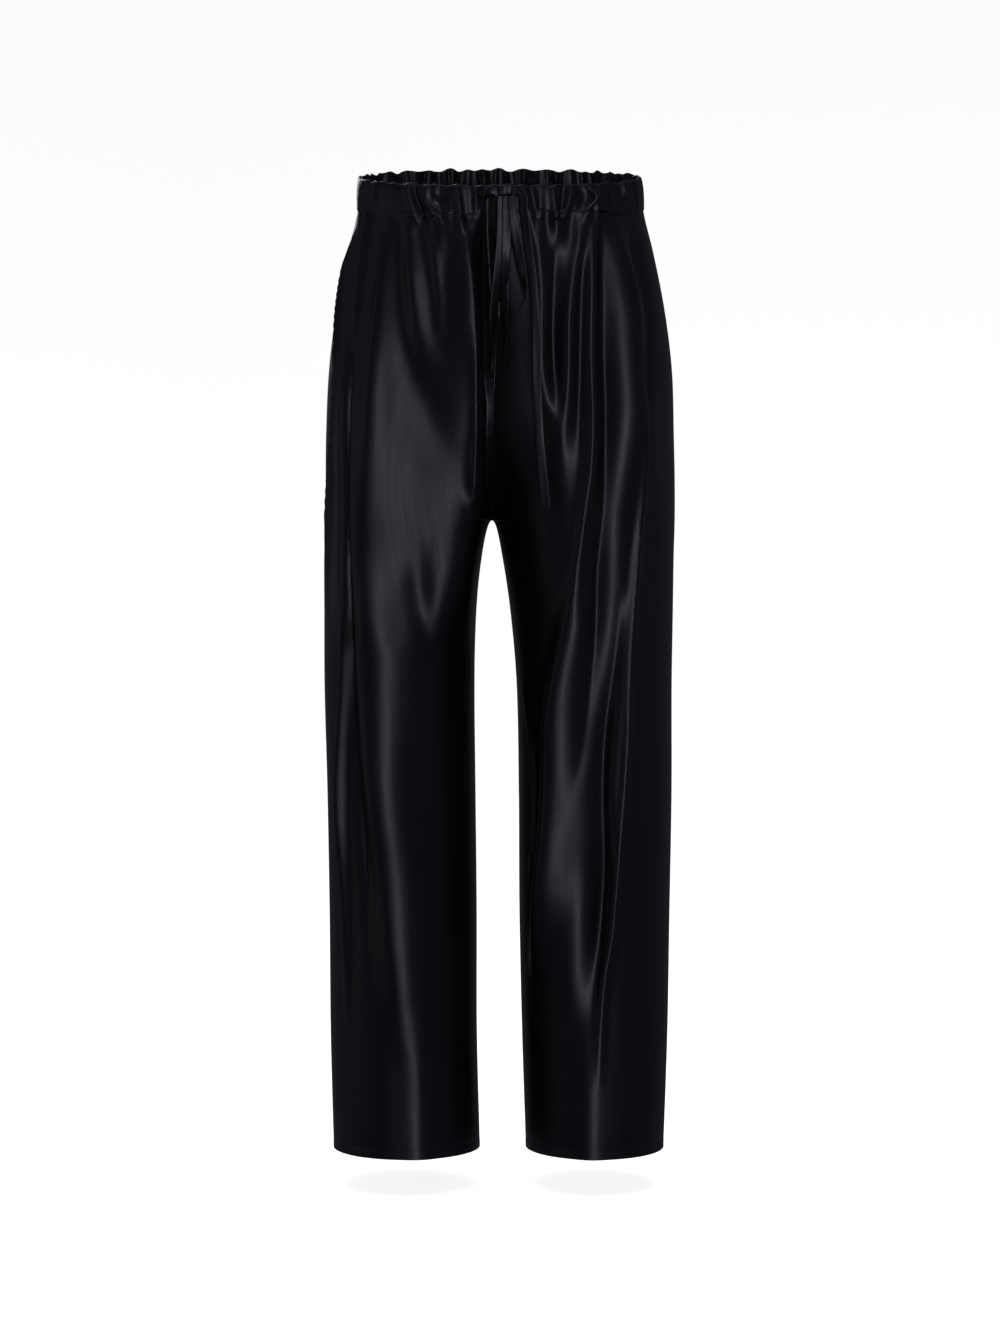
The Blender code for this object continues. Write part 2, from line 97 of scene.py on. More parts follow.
# Cloth, its seams and the casing
CLOTH = 0.7
HEM_CLOTH = 1.5
SEAM_GAP = 0.06
SEAM_EASE = 6.0
SEAM_WIDE = 1.6
SEAM_SINK = 0.55
UNDER_CASING = 3.0
CASING_OUT = 0.5
CASING_THICK = 2.2
CASING_BULGE = 1.7
CASING_ROUND = 0.6
CASING_FOLD = 0.6
CASING_SPAN = (CASING_BOTTOM, CASING_TOP)

# The wavy top edge of the casing: two waves, each with its height and its rates round the waist
LONG_WAVE = 1.2
LONG_RATES = (0.21, 0.047)
SHORT_WAVE = 0.9
SHORT_RATES = (0.33, 0.05)
WAVE_IN_FRONT = 0.7
WAVE_BEHIND = 1.1

# Stitches: one row on each hem's turning, which bites into it, and one above the casing's seam. Each
# row has a height and how far it is out of the cloth's form.
HEM_STITCHES = HEM + HEM_TURN - 2.0
HEM_BITE = 0.3
HEM_BITE_WIDE = 1.5
HEM_SWELL = 0.15
HEM_SWELL_OVER = 4.0
STITCH_ROWS = {
    "hem": (HEM_STITCHES, -0.2),
    "casing": (CASING_BOTTOM + 2.2, CASING_OUT + 0.75),
}
STITCH_LONG = 2.6
STITCH_GAP = 0.5
STITCH_THICK = 0.36
STITCH_RISE = 0.14
STITCH_STATIONS = 5
STITCH_SIDES = 6

# Faces that meet at more than this are shaded as an edge
SHARP = math.radians(50)

# Columns of each sheet, and rows of each stretch of a panel from the casing down
FRONT_COLUMNS = 150
BACK_COLUMNS = 110
CASING_COLUMNS = 200
CASING_LEVELS = 26
GATHERS_END = -128.0
GATHER_ROWS = 64
HIP_ROWS = 36
FORK_ROWS = 60
ARCH_ROWS = 30
LEG_ROWS = 110
HEM_ROWS = 9

# The four panels: the side of the wearer and the face, each -1 or 1 as the axes have it
PANELS = {
    "front_right_leg": (-1, -1),
    "back_right_leg": (-1, 1),
    "front_left_leg": (1, -1),
    "back_left_leg": (1, 1),
}

# A crease is a ridge or trough down the cloth. Each of its places is across from the middle (negative
# on the wearer's right), a height, and how far the cloth stands out there, or in where it is negative.
# It is as wide as left and right say on its two sides at its top, and grows by the factor low. Its
# edge is 2 where it is rounded and 1 where it comes to a line.
Crease = namedtuple("Crease", "left right low edge places")
FRONT_CREASES = (
    # Wearer's right leg, outer side: two edge lines, a ridge and the deep fold behind the front
    Crease(3, 5, 1.3, 1.4, (
        (-150, -40, 0), (-160, -81, 5), (-173, -214, 4), (-181, -356, 3), (-182, -460, 0),
    )),
    Crease(5, 5, 1, 1.6, ((-137, -30, 4), (-145, -87, 7), (-151, -151, 5), (-156, -200, 0))),
    Crease(7, 6, 1, 2, (
        (-165, -430, 0), (-165, -490, 4), (-164, -560, 8), (-163, -700, 8), (-162, -760, 6),
        (-160, -890, 0),
    )),
    Crease(8, 6, 1.2, 1, (
        (-136, -45, -1), (-148, -112, -3), (-156, -184, -7), (-162, -250, -9), (-163, -332, -10),
        (-160, -384, -10), (-156, -435, -10), (-152, -538, -10), (-145, -641, -8), (-138, -740, -4),
        (-131, -850, 0),
    )),
    Crease(2, 3, 1, 1.6, (
        (-153, -400, 0), (-151, -470, 2), (-147, -560, 3), (-142, -640, 3), (-133, -830, 0),
    )),
    # Wearer's right leg, front: the inverted V that opens into the flat front, and its long ridge
    Crease(5, 11, 3.4, 2, (
        (-114, -42, 0), (-118, -72, 6), (-122, -110, 9), (-126, -160, 9.5), (-131, -220, 9),
        (-134, -300, 6), (-134, -390, 0),
    )),
    Crease(14, 14, 1.4, 2, ((-92, -150, 0), (-82, -200, -2), (-70, -250, -2), (-52, -300, 0))),
    Crease(8, 11, 1.5, 2, ((-96, -34, 3), (-90, -98, 6), (-84, -151, 5), (-76, -200, 2), (-70, -235, 0))),
    Crease(4, 5, 1.4, 1.8, ((-74, -36, 3), (-67, -81, 3), (-63, -125, 2), (-62, -170, 0))),
    Crease(7, 6, 1.5, 2, ((-58, -36, 2.5), (-60, -81, 2), (-62, -120, 0))),
    Crease(30, 9, 1, 1.5, ((-42, -38, 3), (-31, -87, 6), (-24, -138, 8), (-22, -202, 6), (-23, -262, 0))),
    Crease(6, 8, 1, 1.6, ((-25, -150, 0), (-23, -202, 4), (-23, -266, 6), (-26, -315, 4), (-28, -346, 0))),
    Crease(13, 13, 1, 2, ((-84, -370, 0), (-82, -425, -3), (-76, -465, -3), (-66, -510, 0))),
    Crease(16, 34, 1, 2, (
        (-134, -360, 0), (-139, -450, 6), (-138, -520, 11), (-131, -600, 12), (-122, -690, 12),
        (-112, -780, 9), (-103, -850, 5), (-96, -930, 0),
    )),
    Crease(16, 16, 1, 2, ((-92, -860, 0), (-86, -930, 2.5), (-84, -1035, 2.5))),
    # Wearer's left leg, between the bow and the side
    Crease(8, 9, 1.3, 1.6, (
        (30, -34, 3), (43, -99, 3), (44, -152, 3), (44, -203, 3), (48, -229, 3), (58, -255, 3),
        (66, -340, 0),
    )),
    Crease(7, 7, 1.2, 1.7, ((57, -60, 0), (56, -100, -4), (56, -160, -5), (58, -200, -4), (62, -240, 0))),
    Crease(9, 10, 1, 1.6, (
        (-14, -20, -3), (-13, -80, -9), (-12, -150, -9), (-12, -260, -6), (-12, -330, 0),
    )),
    Crease(5, 6, 1.4, 1.5, ((57, -34, 2.5), (58, -55, 2.5), (58, -80, 0))),
    Crease(7, 7, 1, 2, (
        (86, -32, 3), (78, -78, 3), (71, -135, 4), (70, -202, 4), (68, -246, 3), (64, -290, 0),
    )),
    Crease(5, 5, 1.2, 1.7, ((84, -70, 0), (83, -120, -2.5), (82, -230, -2.5), (80, -300, 0))),
    Crease(7, 8, 1, 2, (
        (96, -12, 3), (94, -74, 4), (92, -176, 5), (92, -306, 6), (89, -332, 6), (86, -358, 6),
        (83, -384, 5), (78, -420, 3), (74, -460, 0),
    )),
    Crease(14, 20, 1, 2, (
        (88, -400, 0), (76, -440, 5), (68, -487, 9), (58, -561, 12), (54, -640, 14), (52, -703, 14),
        (47, -745, 13), (42, -790, 9), (38, -840, 0),
    )),
    Crease(20, 6, 1, 1.8, (
        (124, -420, 0), (122, -470, -4), (118, -520, -7), (113, -570, -9), (110, -620, -10),
        (110, -745, -11), (106, -786, -10), (99, -830, -7), (93, -890, 0),
    )),
    Crease(9, 12, 1.2, 1.5, (
        (105, -32, -2), (106, -90, -5), (107, -157, -7), (108, -225, -7), (108, -280, -7),
        (108, -332, -7), (102, -410, -7), (98, -475, -7), (90, -538, -6), (82, -600, -3), (75, -640, 0),
    )),
    Crease(40, 16, 1, 1.4, (
        (112, -34, 3), (128, -90, 8), (139, -150, 13), (146, -205, 15), (149, -240, 15), (151, -290, 8),
        (152, -350, 0),
    )),
    Crease(8, 11, 1, 1.4, (
        (138, -40, 0), (143, -90, -8), (147, -140, -13), (149, -200, -14), (151, -250, -12),
        (153, -300, -6), (154, -340, 0),
    )),
    Crease(5, 6, 1, 1.7, (
        (144, -250, 0), (144.5, -290, 3.5), (144.5, -345, 4), (142, -384, 4), (139, -435, 4),
        (135, -487, 4), (132, -538, 4), (130, -580, 4), (128, -621, 4), (126, -662, 4),
        (123, -704, 4.5), (119, -745, 5), (115, -786, 5), (108, -827, 4), (104, -880, 3),
        (102, -950, 0),
    )),
    Crease(16, 16, 1, 2, ((102, -860, 0), (96, -930, 2.5), (94, -1035, 2.5))),
    # Wearer's left leg, inner side
    Crease(4, 4, 1.2, 1.8, (
        (22, -520, 0), (29, -560, 1.5), (34, -599, 3), (36, -636, 3), (35, -693, 3), (32, -740, 0),
    )),
)
BACK_CREASES = (
    Crease(8, 8, 2.5, 1.7, (
        (-120, -40, 3), (-124, -160, 5), (-128, -300, 6), (-120, -520, 5), (-110, -760, 0),
    )),
    Crease(7, 7, 2, 1.7, (
        (-98, -50, -3), (-104, -170, -5), (-104, -320, -4), (-96, -520, -4), (-90, -700, 0),
    )),
    Crease(9, 9, 2.44, 1.7, ((-70, -45, 3), (-74, -180, 5), (-78, -330, 6), (-72, -500, 4), (-66, -640, 0))),
    Crease(7, 7, 1.71, 1.7, ((-42, -50, 3), (-46, -130, 5), (-52, -230, 4), (-58, -330, 0))),
    Crease(8, 8, 1.5, 1.7, ((-26, -60, -2), (-30, -180, -4), (-40, -300, -3), (-46, -380, 0))),
    Crease(8, 8, 1.25, 1.7, ((-152, -60, 3), (-160, -180, 4), (-162, -320, 4), (-158, -460, 0))),
    Crease(12, 12, 1.17, 1.7, ((-98, -560, 0), (-94, -700, 5), (-96, -840, 6), (-94, -1010, 6))),
    Crease(9, 9, 1.33, 1.7, ((-142, -420, 0), (-138, -560, -5), (-136, -700, -4), (-134, -860, 0))),
    Crease(9, 9, 1.56, 1.7, ((-52, -560, 0), (-56, -680, -4), (-60, -820, -3), (-62, -900, 0))),
    Crease(8, 8, 2.25, 1.7, ((124, -40, 3), (120, -150, 5), (126, -290, 6), (124, -480, 5), (116, -700, 0))),
    Crease(7, 7, 1.86, 1.7, (
        (104, -50, -3), (100, -150, -5), (104, -300, -5), (98, -480, -4), (92, -640, 0),
    )),
    Crease(8, 8, 2.5, 1.7, ((82, -45, 4), (76, -150, 5), (74, -300, 5), (78, -470, 4), (74, -600, 0))),
    Crease(7, 7, 1.71, 1.7, ((50, -45, 3), (48, -120, 5), (44, -220, 4), (48, -320, 0))),
    Crease(8, 8, 1.5, 1.7, ((28, -60, -2), (26, -160, -4), (34, -280, -3), (40, -370, 0))),
    Crease(8, 8, 1.25, 1.7, ((150, -60, 3), (162, -170, 4), (164, -330, 4), (160, -480, 0))),
    Crease(12, 12, 1.17, 1.7, ((104, -540, 0), (100, -690, 5), (94, -830, 6), (96, -1010, 6))),
    Crease(9, 9, 1.33, 1.7, ((140, -380, 0), (138, -520, -5), (132, -680, -4), (128, -840, 0))),
    Crease(9, 9, 1.44, 1.7, ((60, -540, 0), (56, -660, -4), (60, -800, -3), (64, -880, 0))),
)

# Puckers of the casing in front, listed one by one. Those of the back are worked out below.
CASING_CREASES = (
    Crease(4, 4, 1, 1.7, ((-95, 0, 0), (-94, -10, 3), (-90, -26, 2.5), (-84, -42, 2), (-80, -56, 0))),
    Crease(3, 3, 1, 1.7, ((-90, 0, 0), (-89, -12, -2.5), (-84, -28, -2.5), (-77, -44, -1), (-74, -52, 0))),
    Crease(3, 3, 1.33, 1.7, ((-76, 4, 0), (-74, -10, 2.5), (-74, -24, 2.5), (-66, -38, 2.5), (-58, -50, 0))),
    Crease(3, 3, 1, 1.7, ((-66, 0, 0), (-66, -14, 2), (-62, -28, -2), (-56, -44, -1), (-54, -52, 0))),
    Crease(3, 3, 1.33, 1.7, ((-46, 4, 0), (-44, -12, 3), (-42, -28, 3), (-40, -46, 3), (-38, -60, 0))),
    Crease(4, 4, 1, 1.7, ((-26, 2, 0), (-24, -12, -3), (-24, -30, -2), (-26, -50, 0))),
    Crease(3, 3, 1, 1.7, ((-15, 0, 0), (-16, -14, 2.5), (-17, -26, 2), (-16, -44, 1), (-15, -58, 0))),
    Crease(3, 3, 1.33, 1.7, ((20, 2, 0), (22, -10, 3), (23, -22, 3), (22, -36, 2), (27, -50, 0))),
    Crease(5, 5, 1, 1.7, ((30, 4, 0), (33, -12, -2), (36, -30, -2), (38, -46, 0))),
    Crease(4, 4, 1.25, 1.7, ((54, 4, 0), (54, -12, 2), (56, -28, 2), (57, -44, 3), (57, -56, 0))),
    Crease(4, 4, 1, 1.7, ((76, 4, 0), (72, -12, 2), (68, -28, 3), (62, -44, 3), (58, -58, 0))),
    Crease(4, 4, 1, 1.7, ((66, 4, 0), (66, -12, -2), (64, -28, -2.5), (61, -44, -2), (60, -56, 0))),
    Crease(4, 4, 1.25, 1.7, ((92, 4, 0), (90, -8, 3), (95, -18, 4), (88, -32, 2), (86, -48, 0))),
    Crease(3, 3, 1.33, 1.7, ((104, 4, 0), (101, -12, 2), (97, -24, 3), (97, -40, 2), (97, -56, 0))),
    Crease(4, 4, 1, 1.7, ((114, 0, 0), (116, -14, -2), (116, -26, -2), (112, -40, 0))),
    Crease(4, 4, 1, 1.7, ((126, 8, 0), (127, -4, 3), (127, -14, 3), (122, -22, 0))),
    Crease(4, 4, 1, 1.7, ((-128, 8, 0), (-129, -6, 2), (-130, -20, 1.5), (-130, -34, 0))),
    Crease(3, 3, 1, 1.7, ((-142, 10, 0), (-143, -2, 2), (-145, -18, 2), (-147, -40, 2), (-150, -60, 0))),
    Crease(3, 3, 1, 1.7, ((138, 10, 0), (140, -2, 2), (142, -18, 2), (144, -34, 0))),
)

# The back's puckers, which the elastic draws up unevenly, closer together than in front. Stray and
# lean are how far one may be off its place and slant. Deeper and longer are parts of depth and reach.
BACK_PUCKERS = 17
PUCKER_START = 6.0
PUCKER_STEP = 8.2
PUCKER_WIDE = 2.9
PUCKER_LOW = 1.6
PUCKER_EDGE = 1.4
PUCKER_DEPTH = 2.6
PUCKER_REACH = 46.0
PUCKER_TOP = 42.0
PUCKER_FULL = (24.0, 2.0)
PUCKER_STRAY = 2.2
PUCKER_LEAN = 3.0
PUCKER_DEEPER = 0.4
PUCKER_LONGER = 0.6
PUCKER_FADED = 0.3
PUCKER_TRAIL = 1.5

# How deep the creases are for their numbers, and how steeply the cloth may turn away
RELIEF = 1.3
FLATTEST = 0.2

# A crease swells by part of its depth and wanders to its sides, each in waves along its length. The
# shifts start the waves at another place on each crease.
SWELL = 0.16
SWELL_LENGTH = 31.0
SWELL_SHIFT = 1.7
WANDER = 1.0
WANDER_LENGTH = 53.0
WANDER_SHIFT = 2.1

# Small gathers under the casing seam, between the long folds, shallower in front than at the back
GATHERS = 13
GATHERED = {-1: 0.8, 1: 1.2}
GATHER_START = 9.0
GATHER_STEP = 11.0
GATHER_STRAY = 2.8
GATHER_VARIES = 0.5
GATHER_EDGE = 2.0
GATHER_TOP = -10.0
GATHER_FULL = (-40.0, -52.0)
GATHER_LEAN = 2.0
GATHER_WIDE = 3.0
GATHER_LOW = 2.0
GATHER_DEPTH = 1.1
GATHER_REACH = 30.0
SMOOTH_FROM = 108.0

# The seam in front lies in a hollow, which is wider on the wearer's left
Hollow = namedtuple("Hollow", "height depth")
CENTRE_WIDE = {-1: 12.0, 1: 34.0}
CENTRE = (
    Hollow(-30, 0),
    Hollow(-90, 8),
    Hollow(-160, 17),
    Hollow(-230, 20),
    Hollow(-300, 12),
    Hollow(-352, 0),
)

# The drawstring: a flat ribbon of the same satin, as in part.py
RIBBON_WIDE = 9.0
RIBBON_THICK = 0.9
KNOT_WIDE = 16.0
KNOT_TALL = 12.0
KNOT_THICK = 7.0
KNOT_ACROSS = 6.0
KNOT_HEIGHT = -14.0
KNOT_ROUND = 2.5
KNOT_GAP = 0.3

# How full the knot is towards its ends, how square, and how much it tilts
KNOT_RINGS = 26
KNOT_AROUND = 40
KNOT_FULL = 3.2
KNOT_SQUARE = 0.75
KNOT_END = 0.82
KNOT_TILT = 0.8
KnotFold = namedtuple("KnotFold", "place width depth")
KNOT_FOLDS = (KnotFold(0.15, 0.10, 0.10), KnotFold(-0.5, 0.08, 0.07))

# Stations along a ribbon, closer at the knot, the rays that find the cloth near each, and the curl
RIBBON_STATIONS = 32
RIBBON_FINE = 240
KNOT_CROWDING = 1.35
NEAR_RIBBON = 6.0
NEAR_RAYS = 9
RAY_START = -400.0
RIBBON_CURL = 0.35
CURL_LENGTH = 23.0

Point = namedtuple("Point", "across height off turn")
RIBBONS = {
    "tie_loop_long": (
        Point(1.5, -20.6, 3.4, 0),
        Point(1.0, -60, 5.0, 5),
        Point(-3.0, -105, 6.0, 20),
        Point(-7.5, -150, 6.5, 55),
        Point(-8.0, -176, 6.5, 80),
        Point(-5.0, -193, 6.5, 90),
        Point(-1.0, -199, 6.5, 90),
        Point(3.0, -194, 6.5, 90),
        Point(4.5, -176, 6.5, 85),
        Point(4.6, -150, 6.5, 60),
        Point(4.6, -105, 2.6, 5),
        Point(4.6, -60, 2.2, 0),
        Point(4.6, -20.6, 1.3, 0),
    ),
    "tie_loop_short": (
        Point(7.0, -20.6, 5.5, 0),
        Point(6.6, -60, 9.0, 0),
        Point(6.2, -95, 12.5, 25),
        Point(5.8, -118, 15.5, 80),
        Point(8.0, -131, 16.5, 90),
        Point(15.0, -138, 17.0, 90),
        Point(22.5, -134, 17.0, 90),
        Point(25.8, -122, 16.5, 80),
        Point(24.5, -106, 16.0, 50),
        Point(19.0, -75, 14.0, 15),
        Point(14.0, -46, 11.5, 0),
        Point(12.0, -20.6, 7.6, 0),
    ),
    "tie_tail_right": (
        Point(-2.8, -15, 4.5, 0),
        Point(-9.0, -14, 6.0, 20),
        Point(-15.5, -22, 6.5, 60),
        Point(-16.5, -50, 6.5, 75),
        Point(-15.5, -120, 6.0, 80),
        Point(-14.5, -196, 6.0, 70),
        Point(-10.5, -225, 5.0, 20),
        Point(-9.5, -248, 5.0, 20),
        Point(-11.5, -280, 6.0, 75),
        Point(-12.5, -315, 6.0, 80),
    ),
    "tie_tail_left": (
        Point(15.9, -13.5, 3.5, 0),
        Point(20.5, -15.4, 4.5, -10),
        Point(24.5, -36, 5.0, -20),
        Point(28.0, -65, 4.0, -15),
        Point(33.0, -100, 4.0, -12),
        Point(36.0, -135, 4.0, -10),
        Point(38.5, -224, 4.0, -8),
        Point(42.5, -290, 4.0, -10),
        Point(46.5, -332, 4.5, -18),
        Point(47.5, -341, 5.0, -22),
    ),
}

# Camera: level with the hips, and turned down a little to hold the whole garment
CAMERA_AWAY = 3.5
CAMERA_HEIGHT = -0.389
AIM_HEIGHT = -0.508
FRAME_WIDTH = 1.065
SENSOR = 36.0

# Studio, in metres: a round backdrop, the light of the room, and soft boxes in watts
FLOOR_HEIGHT = -1.06
BACKDROP_AWAY = 6.0
BACKDROP_ROUND = 2.0
BACKDROP_STEPS = 16
BACKDROP_SIDES = 96
BACKDROP_TALL = 4.0
ROOM_COLOUR = (0.85, 0.83, 1, 1)
ROOM_LIGHT = 0.07

Light = namedtuple("Light", "name place aim wide tall power mirrored")
LIGHTS = (
    Light("front_box", (0.55, -3.9, -0.3), (0, 0, -0.4), 0.6, 5.4, 45, True),
    Light("back_box", (-1.2, 3.7, 1.5), (0, 0, -0.4), 0.8, 2.6, 26, True),
    Light("left_box", (-3.2, -0.4, -0.2), (0, 0, -0.5), 3.0, 2.6, 3.5, True),
    Light("right_box", (3.2, -0.4, -0.2), (0, 0, -0.5), 3.0, 2.6, 1.0, True),
    Light("top_box", (0, 0.2, 2.6), (0, 0.2, 0), 3.4, 3.4, 150, False),
    Light("top_fill", (0, -0.3, 2.2), (0, 0, 0), 1.6, 1.2, 3, True),
)

# Satin: how fine each pattern is across and down the cloth, its bumps in metres, and its roughness
SHADE_SCALE = (18, 5, 1)
SLUB_SCALE = (260, 9, 1)
SOFT_SCALE = (34, 7, 1)
WEAVE_SCALE = (900, 420, 1)
SOFT_BUMP = 0.0003
WEAVE_BUMP = 0.000012
SMOOTHER = 0.03
ROUGHER = 0.04
SHINE_TINT = (0.86, 0.87, 1.0, 1)


# Curves and blends


def smooth_through(stations, values, at):
    """Values at places between the stations, on a smooth curve through them."""
    stations, values = np.asarray(stations, float), np.asarray(values, float)
    slopes = np.gradient(values, stations)
    at = np.clip(at, stations[0], stations[-1])
    i = np.clip(np.searchsorted(stations, at, side="right") - 1, 0, len(stations) - 2)
    step = stations[i + 1] - stations[i]
    t = (at - stations[i]) / step
    start = values[i] * (1 + 2 * t) * (1 - t) ** 2 + slopes[i] * step * t * (1 - t) ** 2
    end = values[i + 1] * (3 - 2 * t) * t**2 + slopes[i + 1] * step * (t - 1) * t**2
    return start + end


def ease(t):
    """0 before 0, 1 after 1, and a smooth step between."""
    t = np.clip(t, 0.0, 1.0)
    return t * t * (3 - 2 * t)


def outline(column, height):
    """A column of the section table at any height."""
    rising = SECTIONS[::-1]
    return smooth_through([s.height for s in rising], [getattr(s, column) for s in rising], height)


def half_gap(height):
    """Half the gap between the legs, which opens as a round arch under the crotch."""
    below = [s for s in SECTIONS if s.height <= CROTCH]
    roots = [math.sqrt(CROTCH - s.height) for s in below]
    return smooth_through(roots, [s.gap for s in below], np.sqrt(np.maximum(CROTCH - height, 0)))


# The form of the cloth, as in part.py


def squareness(sign, facing, leg_turn, height):
    """The power of the curve round a leg at each place: 2 is an ellipse, and more is squarer."""
    down = ease((SQUARE_TOP - height) / SQUARE_RISE) * ease((height - SQUARE_LOW) / SQUARE_FALL + 1)
    round_leg = ease(leg_turn / SQUARE_START) * ease((SQUARE_END - leg_turn) / SQUARE_START)
    return 2 + (FRONT_SQUARE[sign] - 2) * down * round_leg * (facing > 0)


def base_point(sign, u, height):
    """A point of one half, with no folds: u runs from the front edge round the side to the back."""
    side = sign * outline("left" if sign > 0 else "right", height)
    middle = outline("middle", height)
    gap = half_gap(height)
    soft_gap = gap * ease((CROTCH - height) / ARCH_SOFT)
    inner = middle + sign * soft_gap
    front, back = outline("front", height), outline("back", height)
    centre, deep = (front + back) / 2, (back - front) / 2
    turn = math.pi * u
    facing = np.sign(np.cos(turn))
    across, along = np.clip(np.sin(turn), 0, 1), abs(np.cos(turn))
    square = 1 - HIP_SQUARE * ease((CASING_BOTTOM - height) / (CASING_BOTTOM - CROTCH))
    body_x = middle + (side - middle) * across**square
    body_y = along**square
    leg_turn = 2 * np.arcsin(across)
    leg_x = (side + inner) / 2 - (side - inner) / 2 * np.cos(leg_turn)
    leg_x += sign * (gap - soft_gap) * (1 - ease(abs(leg_x - inner) / ARCH_REACH))
    near = leg_turn < math.pi / 2
    power = squareness(sign, facing, leg_turn, height)
    far_y = np.maximum(1 - abs(np.cos(leg_turn)) ** power, 0) ** (1 / power)
    leg_y = np.where(near, 1.0, far_y)
    blend = ease((BLEND_TOP - height) / (BLEND_TOP - CROTCH))
    fork = np.clip((FORK_TOP - height) / (FORK_TOP - CROTCH), 0.0, 1.0)
    late = np.clip((fork - FORK_LATE) / (1 - FORK_LATE), 0.0, 1.0)
    soft = fork + (1 - FORK_LATE) * late**2 * (1 - late)
    fork += (soft - fork) * ease(leg_turn / CLEFT_TURN)
    cleft = np.where(near, 1 - abs(fork * np.cos(leg_turn)) ** power, 1.0)
    deepness = ((1 - blend) * body_y + blend * leg_y) * np.maximum(cleft, 0) ** (1 / power)
    dip = WAIST_DIP * ease((height - DIP_END) / (CASING_BOTTOM - DIP_END))
    x = (1 - blend) * body_x + blend * leg_x
    y = centre - facing * deep * deepness
    return np.stack([x, y, height - dip * np.cos(turn)], axis=-1)


def outward(sign, u, height):
    """The direction out of the cloth, level near the waist so that the casing's seam stays flat."""
    small, fine = 0.02, 1e-4
    down = base_point(sign, u, height - small) - base_point(sign, u, height + small)
    first, last = np.clip(u - fine, 0, 1), np.clip(u + fine, 0, 1)
    along = base_point(sign, last, height) - base_point(sign, first, height)
    normal = np.cross(down, along) * sign
    normal /= np.linalg.norm(normal, axis=-1, keepdims=True)
    level = ease((height - LEVEL_NORMAL_END) / (CASING_BOTTOM - LEVEL_NORMAL_END))
    normal[..., 2] *= 1 - level
    return normal / np.linalg.norm(normal, axis=-1, keepdims=True)


def uneven(rate, i, turn):
    """A number from -1 to 1 that differs from one pucker or gather to the next."""
    return math.sin(rate * i + turn)


def back_puckers():
    """The elastic's puckers at the back, each with its own place, lean, depth and reach."""
    made = []
    for sign in (-1, 1):
        for i in range(BACK_PUCKERS):
            stray = PUCKER_STRAY * uneven(2.4, i, sign)
            across = sign * (PUCKER_START + PUCKER_STEP * i + stray)
            lean = PUCKER_LEAN * uneven(1.3, i, 0.7 * sign)
            depth = PUCKER_DEPTH * (1 + PUCKER_DEEPER * uneven(1.9, i, 2 * sign))
            reach = PUCKER_REACH * (1 + PUCKER_LONGER * uneven(2.9, i, sign))
            places = (
                (across - lean, PUCKER_TOP, PUCKER_FADED * depth),
                (across, PUCKER_FULL[0], depth),
                (across + lean, PUCKER_FULL[1], depth),
                (across + PUCKER_TRAIL * lean, -reach, 0),
            )
            made.append(Crease(PUCKER_WIDE, PUCKER_WIDE, PUCKER_LOW, PUCKER_EDGE, places))
    return made


def small_gathers(face):
    """Short gathers that the casing's seam holds, fewer towards the smooth outer front."""
    made = []
    for sign in (-1, 1):
        for i in range(GATHERS):
            stray = GATHER_STRAY * uneven(3.1, i, sign)
            across = sign * (GATHER_START + GATHER_STEP * i + stray)
            if face < 0 and abs(across) > SMOOTH_FROM:
                continue
            depth = GATHERED[face] * GATHER_DEPTH * (1 + GATHER_VARIES * uneven(2.3, i, sign))
            reach = GATHER_REACH * (1 + GATHER_VARIES * uneven(1.7, i, 3 * sign))
            places = (
                (across, GATHER_TOP, 0),
                (across, GATHER_FULL[0], depth),
                (across, GATHER_FULL[1], depth),
                (across + GATHER_LEAN, GATHER_FULL[1] - reach, 0),
            )
            made.append(Crease(GATHER_WIDE, GATHER_WIDE, GATHER_LOW, GATHER_EDGE, places))
    return made


def creases_of(face):
    """Every crease of the front or the back, for its panels and for the casing above them."""
    if face < 0:
        return FRONT_CREASES + CASING_CREASES + tuple(small_gathers(face))
    return BACK_CREASES + tuple(back_puckers()) + tuple(small_gathers(face))


def relief(creases, sign, points, arc):
    """How far the creases push each point of a panel out. Each swells and wanders a little."""
    depth = np.zeros(points.shape[:2])
    across, height = points[..., 0], points[..., 2]
    level = abs(np.gradient(across, axis=1) / np.maximum(np.gradient(arc, axis=1), TINY))
    level = np.maximum(level, FLATTEST)
    for i, crease in enumerate(creases):
        xs, zs, outs = np.array(crease.places, float)[::-1].T
        if xs[len(xs) // 2] * sign < 0:
            continue
        wander = WANDER * np.sin(height / WANDER_LENGTH + WANDER_SHIFT * i)
        away = (across - smooth_through(zs, xs, height) - wander) / level
        t = np.clip((zs[-1] - height) / (zs[-1] - zs[0]), 0, 1)
        wide = np.where(away < 0, crease.left, crease.right) * (1 + (crease.low - 1) * t)
        swell = SWELL * np.sin(height / SWELL_LENGTH + SWELL_SHIFT * i)
        out = np.interp(height, zs, outs) * (1 + swell)
        inside = (height > zs[0]) & (height < zs[-1])
        shape = np.exp(-(abs(away / wide) ** crease.edge))
        depth += np.where(inside, RELIEF * out * shape, 0)
    return depth


def arc_lengths(points):
    """How far along its row each point is, seen from above."""
    steps = np.linalg.norm(np.diff(points[..., :2], axis=1), axis=2)
    return np.concatenate([np.zeros((len(points), 1)), np.cumsum(steps, axis=1)], axis=1)


